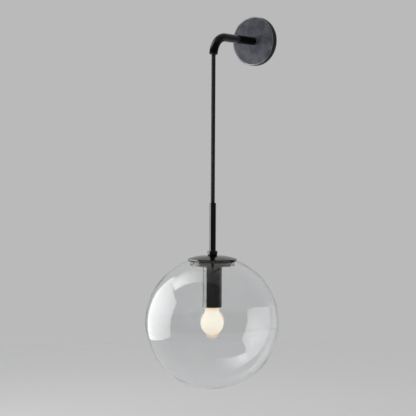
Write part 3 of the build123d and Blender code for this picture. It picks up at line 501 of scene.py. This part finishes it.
def braid(line, step=braid_step):
    """Flat yarns that wind both ways round a line, each over one and under the next, on a core.

    A yarn's middle is at the angle 2 pi (run / pitch + its share of a turn), the other way round
    for half of them. Its radius swings by the cosine of 2 pi times the carriers times run / pitch,
    opposite for the two ways of winding. Its section is an ellipse that lies flat on the cord.
    """
    spots, side, front, run = along(line, step, (1, 0, 0))
    middle = cord_diameter / 2 - yarn_wave - yarn_thick / 2
    half = yarn_fill * np.pi / carriers / math.sqrt(2)
    swing = yarn_wave * np.cos(2 * np.pi * carriers * run / braid_pitch)
    section = np.linspace(0, 2 * np.pi, yarn_sides, endpoint=False)
    grids = [tube(line, middle - yarn_wave, liner_step, (1, 0, 0), liner_sides)]
    for hand in (1, -1):
        for carrier in range(carriers):
            turn = hand * 2 * np.pi * (run / braid_pitch + carrier / carriers)
            turn = turn[:, None] + half * np.cos(section)
            reach = (middle + hand * swing)[:, None] + yarn_thick / 2 * np.sin(section)
            out = side[:, None] * np.cos(turn)[..., None] + front[:, None] * np.sin(turn)[..., None]
            yarn = spots[:, None] + reach[..., None] * out
            ends = yarn[[0, -1]].mean(1, keepdims=True)
            ends = np.broadcast_to(ends, (2, yarn_sides, 3))
            grids.append(np.concatenate([ends[:1], yarn, ends[1:]]))
    return grids


def knuckle(centre, radius):
    """Ball with the braid's relief, which fades towards its poles.

    The radius loses the relief times half of 1 + cos((u + v) / 2) cos((u - v) / 2), where u is the
    carriers times the turn and v twice the carriers times the angle up.
    """
    up = np.linspace(-np.pi / 2, np.pi / 2, 48)[:, None]
    turn = np.linspace(0, 2 * np.pi, 120, endpoint=False)[None]
    u, v = carriers * turn, 2 * carriers * up
    weave = 0.5 + 0.5 * np.cos((u + v) / 2) * np.cos((u - v) / 2)
    reach = radius - knuckle_relief * weave * np.cos(up) ** 2
    ball = [np.cos(up) * np.cos(turn), np.cos(up) * np.sin(turn), np.sin(up) + 0 * turn]
    return np.array(centre) + reach[..., None] * np.stack(ball, -1)


black_braid = textile()
cord_line = spline_line([cord_exit, cord_exit - Vector((0, 0, cord_length))])
cord_mesh = mesh_of("cord_braid", *braid(cord_line), wrap=(False, True))
cord = piece(cord_mesh, black_braid, "braided_cord", "free_cord", "cord")
knuckle_mesh = mesh_of("cord_knuckle", knuckle(cord_exit, cord_diameter / 2), wrap=(False, True))
knuckle_piece = piece(knuckle_mesh, black_braid, "braided_cord", "cord_mouth", "cord_flex")
jacket_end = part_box("arm_cord")[1].y
bend_leg = arm_bend * math.tan(arm_turn / 2)
bend_corner_y = hang_y + bend_leg * math.cos(arm_turn)
arm_controls = [
    (0, jacket_end, 0),
    (0, bend_corner_y + 2 * bend_leg, 0),
    (0, bend_corner_y, 0),
    (0, hang_y, cord_exit.z),
]
arm_line = spline_line(arm_controls)
arm_line = arm_line[arm_line[:, 2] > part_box("arm_cord")[0].z + arm_end_gap]
arm_braid = mesh_of("arm_braid", *braid(arm_line, hidden_step), wrap=(False, True))
piece(arm_braid, black_braid, "braided_cord", "fixture", "arm_cord")
lo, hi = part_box("stem_cord")
stem_line = spline_line([(0, hang_y, hi.z), (0, hang_y, lo.z)])
stem_braid = mesh_of("stem_braid", *braid(stem_line, hidden_step), wrap=(False, True))
piece(stem_braid, black_braid, "braided_cord", "pendant", "stem_cord")

# ============================================================ cores and cord grip
# PVC insulated cores fan out of the stripped cord: brown and blue to the terminal block, green
# with a yellow stripe to the earth tag. A nylon collar with a set screw keeps the cord from
# slipping.
core_radius = 0.00075
core_step = 0.0004
core_streak = 0.0012
core_grain = 0.00001
streak_shade = 0.45
core_brown = (0.115, 0.047, 0.022, 1)
core_blue = (0.022, 0.085, 0.36, 1)
core_green = (0.03, 0.22, 0.05, 1)
core_yellow = (0.75, 0.60, 0.05, 1)


def insulation(name, colour, stripe=None):
    """Extruded PVC: satin, faintly streaked along the wire, with a stripe on one side of it."""
    finish = Finish(bpy.data.materials.new(name))
    streaks = finish.cloud(core_streak, 3.0)
    around = finish.node("SeparateXYZ", {0: finish.node("TexCoord", {}, output="UV")})
    darker = [part * streak_shade for part in colour[:3]] + [1]
    base = finish.tint(finish.ramp(streaks, 0.35, 0.75) * 0.35, colour, darker)
    if stripe:
        offset = finish.node("Math", {0: around - 0.5}, operation="ABSOLUTE")
        base = finish.tint(finish.ramp(offset, 0.2, 0.22), stripe, base)
    sockets = {"Base Color": base, "Roughness": 0.36 + streaks * 0.16}
    return finish.shade(sockets, streaks, core_grain)


def core(name, points, across=(1, 0, 0)):
    """Insulated wire along the spline of its points, which are in millimetres."""
    line = spline_line([Vector(point) / 1000 for point in points])
    return mesh_of(name, tube(line, core_radius, core_step, across), wrap=(False, True), crease=60)


live_route = [
    (1.7, -2.8, 0.8), (1.7, -1.6, 0.8), (4.5, -1.5, 11.3), (4.5, -6, 11.3), (4.5, -6, 18.5),
]
neutral_route = [(-x, y, z) for x, y, z in live_route]
earth_route = [
    (0, -2.8, -1.7), (0, -1.5, -1.7), (0, -1.5, -10.5), (0, -3.6, -10.5), (0, -3.6, -15),
]
brown_pvc = insulation("brown_insulation", core_brown)
blue_pvc = insulation("blue_insulation", core_blue)
green_pvc = insulation("green_insulation", core_green, core_yellow)
piece(core("live_wire", live_route), brown_pvc, "brown_insulation", "fixture", "live_core")
piece(core("neutral_wire", neutral_route), blue_pvc, "blue_insulation", "fixture", "neutral_core")
piece(core("earth_wire", earth_route), green_pvc, "green_insulation", "fixture", "earth_core")
dress(black_nylon, "cord_grip")
dress(zinc_plate, "grip_screw")

# ============================================================ stem and collar
# Straight drawn steel tube with a set screw that presses a nylon bush on the cord, standing in a
# turned collar. Both are plated like the arm.
# The stem and collar keep the middle shade of the plating; the arm's copy is darker, as painted
# shade, and the cap's and the sleeve's copies are lighter, as painted highlight
stem_black = (0.098, 0.098, 0.101, 1)
stem_worn = (0.128, 0.126, 0.120, 1)
stem_plating = plating("stem_metal", (0.07, 0.17), 0.6, stem_black, stem_worn)
dress(stem_plating, "stem_tube", "collar")
dress(black_nylon, "stem_bush")
dress(screw_black, "stem_set_screw")

# ============================================================ cap and gallery
# Spun steel cap over the hole in the glass, and a pan nested under it. The pan carries three
# riveted spring clips that hold the globe, and a clear band that keeps the glass off the metal.
spring_bright = (0.50, 0.50, 0.52, 1)
spring_blue = (0.22, 0.24, 0.32, 1)
rolled_stretch = (2600, 2600, 120)
band_clear = (0.93, 0.93, 0.92, 1)
band_milky = (0.80, 0.80, 0.78, 1)


def sprung():
    """Cold rolled spring strip: bright, with rolling lines and a slight temper blue."""
    finish = Finish(bpy.data.materials.new("spring_steel"))
    temper = finish.ramp(finish.cloud(0.006, 3.0), 0.5, 0.8)
    lines = finish.cloud(0, 2.0, rolled_stretch)
    sockets = {
        "Base Color": finish.tint(temper * 0.5, spring_bright, spring_blue),
        "Metallic": 1.0,
        "Roughness": 0.2 + lines * 0.16,
    }
    return finish.shade(sockets, lines, 0.000006)


def clear_plastic():
    """Soft clear band, milky in patches."""
    finish = Finish(bpy.data.materials.new("clear_band"))
    milky = finish.cloud(0.003, 3.0)
    sockets = {
        "Base Color": finish.tint(milky, band_clear, band_milky),
        "Roughness": 0.12 + milky * 0.2,
        "IOR": 1.42,
        "Transmission Weight": 0.9,
    }
    return finish.shade(sockets, milky, 0.00003)


# Painted highlight: the cap's and the pan's copy of the plating is lighter than the stem's, for a
# brighter highlight on the cap's rim
cap_lit_black = (0.125, 0.121, 0.110, 1)
cap_lit_worn = (0.155, 0.148, 0.130, 1)
cap_lit_plating = plating("cap_metal", (0.07, 0.15), 0.9, cap_lit_black, cap_lit_worn)
dress(cap_lit_plating, "cap", "gallery_pan")
dress(sprung(), "globe_clips")
dress(clear_plastic(), "glass_gasket")
dress(zinc_plate, "clip_rivets", "sleeve_spacer", "hanger_washer", "hanger_nut")
lo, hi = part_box("hanger_nipple")
hanger_thread = threaded_tube(
    (0, hang_y, hi.z), (0, 0, -1), hi.z - lo.z, hi.x, nipple_bore, nipple_pitch, thread_depth
)
hanger_mesh = mesh_of("hanger_thread", hanger_thread, crease=50)
piece(hanger_mesh, zinc_plate, "zinc_steel", "pendant", "hanger_nipple")

# ============================================================ lampholder
# Moulded black phenolic holder on the hanger nipple, with a rolled brass screw shell, a sprung
# centre contact and two lead screws. A drawn steel sleeve, plated black, hides it.
# Painted highlight: the sleeve's copy of the plating is lighter than the stem's, for a brighter
# stripe of highlight down its side
sleeve_lit_black = (0.140, 0.139, 0.134, 1)
sleeve_lit_worn = (0.170, 0.168, 0.160, 1)
thread_pitch = 0.00363
shell_depth = 0.00034
shell_wall = 0.00012
phenolic_black = (0.012, 0.012, 0.012, 1)
phenolic_brown = (0.024, 0.021, 0.019, 1)
phenolic_grain = 0.0006
# The leads' points, as millimetres sideways and up
lead_route = [(1.7, -447), (1.7, -450.2), (9, -452.6), (9, -455.7)]


def rolled_thread(low, high, outer, depth, wall, columns=96, steps=14):
    """Closed wall of sheet rolled into a round thread.

    At height z and angle a its outer radius is outer less depth times half of
    1 + cos(2 pi z / pitch - a), eased out to plain ends; the inner side is wall less.
    """
    height = np.linspace(high, low, int((high - low) / thread_pitch * steps) + 1)[:, None]
    angle = np.linspace(0, 2 * np.pi, columns, endpoint=False)[None]
    ends = np.clip(np.minimum(high - height, height - low) / thread_pitch * 1.5, 0, 1)
    wave = 0.5 + 0.5 * np.cos(2 * np.pi * height / thread_pitch - angle)
    outside = outer - depth * wave * ends
    radius = np.concatenate([outside, outside[::-1] - wall])
    height = np.concatenate([height, height[::-1]])
    return np.stack(
        [radius * np.cos(angle), hang_y + radius * np.sin(angle), height + 0 * radius], -1
    )


black_phenolic = moulded(
    "black_phenolic", phenolic_black, phenolic_brown, (0.16, 0.34), phenolic_grain
)
lo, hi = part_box("holder_shell")
shell_mesh = mesh_of(
    "screw_shell", rolled_thread(lo.z, hi.z, hi.x, shell_depth - shell_wall, shell_wall), crease=60
)
piece(shell_mesh, bright_brass, "brass", "pendant", "holder_shell")
sleeve_lit_plating = plating("sleeve_metal", (0.06, 0.13), 0.6, sleeve_lit_black, sleeve_lit_worn)
dress(sleeve_lit_plating, "socket_sleeve")
dress(black_phenolic, "holder_cap", "holder_body")
dress(bright_brass, "centre_contact", "lead_screws")
lead_grids = [
    tube(
        spline_line([Vector((side * x, 1000 * hang_y, z)) / 1000 for x, z in lead_route]),
        core_radius,
        core_step,
        (0, 1, 0),
    )
    for side in (1, -1)
]
lead_mesh = mesh_of("lead_wires", *lead_grids, wrap=(False, True), crease=60)
piece(lead_mesh, brown_pvc, "brown_insulation", "pendant", "lamp_leads")

# ============================================================ lamp
# Golf-ball filament lamp, lit: a frosted bulb whose frost is whitest near the filament and warm
# in the neck, on a nickel plated screw base with a black glass insulator and a solder dot.
lit_core = (1.0, 0.97, 0.85, 1)
lit_far = (0.95, 0.64, 0.36, 1)
lit_height = -0.531
lit_fall = (0.0215, 0.031)
frost_white = (0.50, 0.455, 0.37, 1)
frost_grey = (0.46, 0.42, 0.34, 1)
nickel_bright = (0.72, 0.70, 0.66, 1)
nickel_dull = (0.46, 0.43, 0.38, 1)
tin_dark = (0.36, 0.36, 0.37, 1)
tin_pale = (0.60, 0.60, 0.61, 1)
tungsten_dark = (0.20, 0.19, 0.18, 1)
tungsten_drawn = (0.34, 0.32, 0.30, 1)
tungsten_glow = (1.0, 0.55, 0.2, 1)
mount_clear = (0.92, 0.94, 0.94, 1)
mount_green = (0.84, 0.88, 0.88, 1)
base_depth = 0.0006
base_wall = 0.00022
base_barrel_top = -0.4843
base_throat = 0.009
filament_turns = 26
filament_wire = 0.00012
filament_radius = 0.0006
filament_inset = 0.0012
coil_step = 0.0003
support_wire = 0.0002
support_foot = 0.00175
support_inset = 0.0006
support_step = 0.002
hook_start = 0.0013
hook_rise = 0.0003
hook_end = 0.0004
hook_step = 0.0004


def lit_frost():
    """Frosted glass that glows: the emission cools from white to amber away from the filament."""
    finish = Finish(bpy.data.materials.new("frosted_glass"))
    frost = finish.cloud(0.0005, 3.0)
    far = finish.ramp(finish.away((0, hang_y, lit_height)), *lit_fall)
    sockets = {
        "Base Color": finish.tint(frost, frost_white, frost_grey),
        "Roughness": 0.4 + frost * 0.15,
        "Emission Color": finish.tint(far + frost * 0.02, lit_core, lit_far),
        "Emission Strength": 0.7,
        "Specular IOR Level": 0.0,
    }
    return finish.shade(sockets, frost, 0.00001)


def nickel():
    """Bright nickel over brass, with faint rolling rings and a few dull handling marks."""
    finish = Finish(bpy.data.materials.new("plated_base"))
    marks = finish.ramp(finish.cloud(0.004, 5.0), 0.5, 0.8)
    rings = finish.cloud(0, 2.0, (60, 60, 5000))
    sockets = {
        "Base Color": finish.tint(marks * 0.6, nickel_bright, nickel_dull),
        "Metallic": 1.0,
        "Roughness": 0.16 + marks * 0.2,
    }
    return finish.shade(sockets, rings, 0.000005)


def solder():
    """Tin solder: dull grey and lumpy."""
    finish = Finish(bpy.data.materials.new("solder"))
    lumps = finish.cloud(0.0016, 3.0)
    sockets = {
        "Base Color": finish.tint(lumps, tin_dark, tin_pale),
        "Metallic": 1.0,
        "Roughness": 0.34 + lumps * 0.2,
    }
    return finish.shade(sockets, lumps, 0.00015)


def tungsten():
    """Hot tungsten wire: dark metal that glows orange where it is coiled."""
    finish = Finish(bpy.data.materials.new("filament"))
    drawn = finish.cloud(0.0004, 2.0)
    sockets = {
        "Base Color": finish.tint(drawn, tungsten_dark, tungsten_drawn),
        "Metallic": 1.0,
        "Roughness": 0.35 + drawn * 0.2,
        "Emission Color": tungsten_glow,
        "Emission Strength": 1.0,
    }
    return finish.shade(sockets, drawn, 0.00001)


def lamp_stem_glass():
    """Pressed lead glass of the mount, with a few seeds in it."""
    finish = Finish(bpy.data.materials.new("mount_glass"))
    seeds = finish.cloud(0.002, 4.0)
    sockets = {
        "Base Color": finish.tint(seeds, mount_clear, mount_green),
        "Roughness": 0.04 + seeds * 0.06,
        "Transmission Weight": 0.95,
    }
    return finish.shade(sockets, seeds, 0.00006)


def coil(start, end, radius, wire, turns):
    """Wire wound round a line along X: at share s its middle is at the angle 2 pi turns s."""
    share = np.linspace(0, 1, turns * 12 + 1)
    turn = 2 * np.pi * turns * share
    along_x = start[0] + (end[0] - start[0]) * share
    along_y = start[1] + radius * np.sin(turn)
    along_z = start[2] + radius * np.cos(turn)
    return tube(np.stack([along_x, along_y, along_z], -1), wire, coil_step, (1, 0, 0), 5)


def straight_wires(inner_x, inner_z, outer_x, outer_z, step):
    """A straight piece of support wire on each side, from an inner point to an outer one."""
    return [
        tube(
            np.array([(side * inner_x, hang_y, inner_z), (side * outer_x, hang_y, outer_z)]),
            support_wire, step, (0, 1, 0), 8,
        )
        for side in (1, -1)
    ]


lo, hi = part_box("lamp_base")
barrel = rolled_thread(lo.z, base_barrel_top, hi.x, base_depth, base_wall)
base_angle = np.linspace(0, 2 * np.pi, 96, endpoint=False)[None]
shoulder_share = np.linspace(0, 1, 9)[:, None]
shoulder_radius = base_throat + (hi.x - base_throat) * np.sin(shoulder_share * np.pi / 2)
shoulder_height = hi.z + (base_barrel_top - hi.z) * (1 - np.cos(shoulder_share * np.pi / 2))
shoulder_radius = np.concatenate([shoulder_radius, shoulder_radius[::-1] - base_wall])
shoulder_height = np.concatenate([shoulder_height, shoulder_height[::-1] - base_wall])
shoulder = np.stack(
    [
        shoulder_radius * np.cos(base_angle),
        hang_y + shoulder_radius * np.sin(base_angle),
        shoulder_height + 0 * base_angle,
    ],
    -1,
)
base_mesh = mesh_of("screw_base", barrel, shoulder, crease=60)
piece(base_mesh, nickel(), "plated_base", "lamp", "lamp_base")
dress(lit_frost(), "lamp_glass")
dress(black_phenolic, "lamp_insulator")
dress(solder(), "lamp_contact")
dress(lamp_stem_glass(), "lamp_mount")
lo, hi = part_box("lamp_filament")
filament_z = lo.z + filament_radius
winding = coil(
    (lo.x + filament_inset, hang_y, filament_z), (hi.x - filament_inset, hang_y, filament_z),
    filament_radius - filament_wire, filament_wire, filament_turns,
)
supports = straight_wires(support_foot, hi.z, hi.x - support_inset, filament_z, support_step)
hooks = straight_wires(
    hi.x - hook_start, filament_z + hook_rise, hi.x - hook_end, filament_z, hook_step
)
filament_mesh = mesh_of("filament_coil", winding, *supports, *hooks, wrap=(False, True))
piece(filament_mesh, tungsten(), "filament", "lamp", "lamp_filament")

# ============================================================ globe
# Blown clear glass, 3 mm thick, with a ground hole at its top. It hangs on the clips, and drops
# clear of them when they are pressed in. Blowing leaves it very slightly uneven.
globe_hole = 0.043
globe_wall = 0.003
ground_round = 0.0004
glass_tint = (0.975, 0.985, 0.985, 1)
glass_wave = 0.045
glass_ripple = 0.00025
glass_rows = 160
glass_columns = 256


def turned(outline, columns):
    """The outline's (radius, height) points turned round the line that the pendant hangs on."""
    angle = np.linspace(0, 2 * np.pi, columns, endpoint=False)[None]
    radius, height = outline[:, :1], outline[:, 1:]
    return np.stack(
        [radius * np.cos(angle), hang_y + radius * np.sin(angle), height + 0 * angle], -1
    )


def globe_outline():
    """Outer arc from the lowest point to the hole, a ground edge with rounded corners, and the
    inner arc back. On an arc the radius is the sine, and the height the cosine, of its angle."""
    lo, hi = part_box("glass_globe")
    outer = hi.x
    inner = outer - globe_wall
    centre = lo.z + outer
    brim = globe_hole + ground_round
    rise = np.linspace(np.pi, math.asin(brim / outer), glass_rows)
    fall = np.linspace(math.asin(brim / inner), np.pi, glass_rows)
    outside = np.stack([outer * np.sin(rise), centre + outer * np.cos(rise)], -1)
    inside = np.stack([inner * np.sin(fall), centre + inner * np.cos(fall)], -1)
    corner = np.linspace(0, np.pi / 2, 5)[1:]
    top_height = outside[-1, 1] - ground_round * (1 - np.cos(corner))
    top = np.stack([brim - ground_round * np.sin(corner), top_height], -1)
    corner = corner[:-1]
    under_height = inside[0, 1] + ground_round * (1 - np.sin(corner))
    under = np.stack([brim - ground_round * np.cos(corner), under_height], -1)
    outside[0, 0] = inside[-1, 0] = 0
    return np.concatenate([outside, top, under, inside])


def clear_glass():
    """Clear glass with slow waves in its surface."""
    finish = Finish(bpy.data.materials.new("clear_glass"))
    waves = finish.cloud(glass_wave, 1.0)
    sockets = {
        "Base Color": glass_tint,
        "Roughness": 0.0,
        "IOR": 1.5,
        "Transmission Weight": 1.0,
    }
    return finish.shade(sockets, waves, glass_ripple)


globe_mesh = mesh_of("globe", turned(globe_outline(), glass_columns), wrap=(False, True))
globe = piece(globe_mesh, clear_glass(), "clear_glass", "globe", "glass_globe")
globe.visible_shadow = False

# ============================================================ studio
# Pale floor under the pendant and a pale backdrop all round. A softbox with a hot middle stands
# on the left by the wall, a wide dim one hangs overhead, and the lit lamp adds its own glow.
floor_drop = 0.14
floor_pale = (0.50, 0.50, 0.503, 1)
floor_shaded = (0.47, 0.47, 0.47, 1)
floor_fade = (0.5, 2.2)
floor_reach = 4.0
backdrop = (0.49, 0.49, 0.494, 1)
room_level = 1.75
mirror_turn = (-0.1, 0.9)
mirror_dim = 0.12


def pale_floor():
    """Matt floor that fades into the backdrop with its distance from the wall light."""
    finish = Finish(bpy.data.materials.new("floor"))
    grain = finish.cloud(0.02, 4.0)
    far = finish.ramp(finish.away((0, 0, 0), (1, 1, 0)), *floor_fade)
    tone = finish.tint(grain * 0.2, floor_pale, floor_shaded)
    matt = finish.node("BsdfPrincipled", {"Base Color": tone, "Roughness": 0.9})
    clear = finish.node("BsdfTransparent", {})
    mixed = finish.node("MixShader", {0: far, 1: matt, 2: clear})
    finish.node("OutputMaterial", {"Surface": mixed})
    return finish.owner


def studio_world():
    """Backdrop for the camera, through glass and in mirrors, where it dims the more a reflection
    turns back to the camera's side, and an even, stronger light for everything else."""
    finish = Finish(bpy.data.worlds.new("studio"))
    straight = finish.node("LightPath", {}, output="Is Camera Ray")
    through = finish.node("LightPath", {}, output="Is Transmission Ray")
    glossy = finish.node("LightPath", {}, output="Is Glossy Ray")
    mirrors = finish.node("LightPath", {}, output="Glossy Depth")
    scatters = finish.node("LightPath", {}, output="Diffuse Depth")
    mirrored = finish.node("Math", {0: mirrors, 1: 0.5}, operation="GREATER_THAN")
    scattered = finish.node("Math", {0: scatters, 1: 0.5}, operation="GREATER_THAN")
    seen = finish.node("Math", {0: straight, 1: through}, operation="MAXIMUM")
    seen = finish.node("Math", {0: seen, 1: glossy}, operation="MAXIMUM") * (1 - scattered)
    towards = finish.node("TexCoord", {}, output="Generated")
    onward = {0: towards, 1: ahead}
    onward = finish.node("VectorMath", onward, output="Value", operation="DOT_PRODUCT")
    dimmed = mirrored * finish.ramp(onward, *mirror_turn, 1 - mirror_dim, 0.0)
    level = seen * (1 - dimmed) + (1 - seen) * room_level
    colour = finish.node("Background", {"Color": backdrop, "Strength": level})
    finish.node("OutputWorld", {"Surface": colour})
    return finish.owner


def softbox(name, centre, facing, across, size, radiance, hot, edge, lift, matt_radiance):
    """Rectangular lamp at centre that faces one way, with its width along across.

    A card there is what mirrors and glass reflect: it falls from full radiance at the hot spot to
    edge of that at half its size away, and nothing sees it straight or through glass. The lamp,
    moved by lift, lights matt surfaces: its power is its radiance times pi times its area.
    """
    light = bpy.data.lights.new(name, "AREA")
    light.shape = "RECTANGLE"
    light.size, light.size_y = size
    light.energy = matt_radiance * math.pi * size[0] * size[1]
    back = -Vector(facing).normalized()
    side = Vector(across).normalized()
    rise = back.cross(side)
    lamp = bpy.data.objects.new(name, light)
    turn = Matrix((side, rise, back)).transposed().to_4x4()
    lamp.matrix_world = Matrix.Translation(Vector(centre) + Vector(lift)) @ turn
    lamp.visible_glossy = lamp.visible_transmission = False
    bpy.context.scene.collection.objects.link(lamp)
    finish = Finish(bpy.data.materials.new(name))
    bounces = finish.node("LightPath", {}, output="Glossy Depth")
    mirrored = finish.node("Math", {0: bounces, 1: 0.5}, operation="GREATER_THAN")
    extent = [1 / (abs(side[n]) * size[0] + abs(rise[n]) * size[1] + 0.2) for n in range(3)]
    share = finish.ramp(finish.away(hot, extent), 0.05, 0.55, 1.0, edge) * mirrored
    clear = finish.node("BsdfTransparent", {})
    lit = finish.node("Emission", {"Strength": radiance})
    mixed = finish.node("MixShader", {0: share, 1: clear, 2: lit})
    finish.node("OutputMaterial", {"Surface": mixed})
    finish.owner.cycles.emission_sampling = "NONE"
    half = np.array([[-0.5, 0.5]])[..., None]
    wide = half * size[0] * np.array(side)
    high = half.swapaxes(0, 1) * size[1] * np.array(rise)
    grid = np.array(centre) + wide + high
    card = bpy.data.objects.new(name + "_card", mesh_of(name + "_card", grid, wrap=(False, False)))
    card.data.materials.append(finish.owner)
    card.visible_camera = card.visible_diffuse = card.visible_shadow = False
    bpy.context.scene.collection.objects.link(card)


def glow(name, centre, radius, radiance, colour):
    """Ball of amber light, as large as a part of the lit bulb, that only reflections show."""
    light = bpy.data.lights.new(name, "POINT")
    light.shadow_soft_size = radius
    light.energy = radiance * 4 * math.pi**2 * radius**2
    light.color = colour
    light.use_soft_falloff = False
    made = bpy.data.objects.new(name, light)
    made.location = centre
    made.visible_camera = made.visible_transmission = made.visible_diffuse = False
    made.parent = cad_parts["lamp_glass"]
    bpy.context.scene.collection.objects.link(made)


softbox(
    "left_softbox",
    centre=(-0.625, -0.46, -0.376),
    facing=(0.972, 0.232, 0),
    across=(0.231, -0.967, -0.096),
    size=(0.905, 0.82),
    radiance=3.4,
    hot=(-0.604, -0.548, -0.367),
    edge=0.55,
    lift=(-0.4, 0, 0.45),
    matt_radiance=1.6,
)
softbox(
    "overhead",
    centre=(-0.277, -0.025, 1.1),
    facing=(0, 0, -1),
    across=(0.958, 0.286, 0),
    size=(3.5, 1.2),
    radiance=3.6,
    hot=(-1.77, -0.89, 1.1),
    edge=0.04,
    lift=(0, 0, 0),
    matt_radiance=0.8,
)
bulb_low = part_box("lamp_glass")[0].z
glow(
    "ball_glow",
    centre=(0, hang_y, bulb_low + 0.0215),
    radius=0.0217,
    radiance=6.0,
    colour=(1.0, 0.57, 0.24),
)
glow(
    "neck_glow",
    centre=(0, hang_y, bulb_low + 0.0425),
    radius=0.0150,
    radiance=3.4,
    colour=(1.0, 0.47, 0.12),
)

angle = np.linspace(0, 2 * np.pi, 64, endpoint=False)
reach = np.linspace(0, floor_reach, 24)[:, None]
floor_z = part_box("glass_globe")[0].z - floor_drop
disc = np.stack([reach * np.cos(angle), reach * np.sin(angle), floor_z + 0 * reach * angle], -1)
floor_mesh = mesh_of("floor", disc, wrap=(False, True))
floor_mesh.materials.append(pale_floor())
floor = bpy.data.objects.new("floor", floor_mesh)
bpy.context.scene.collection.objects.link(floor)

scene = bpy.context.scene
scene.world = studio_world()
scene.view_settings.view_transform = "Standard"
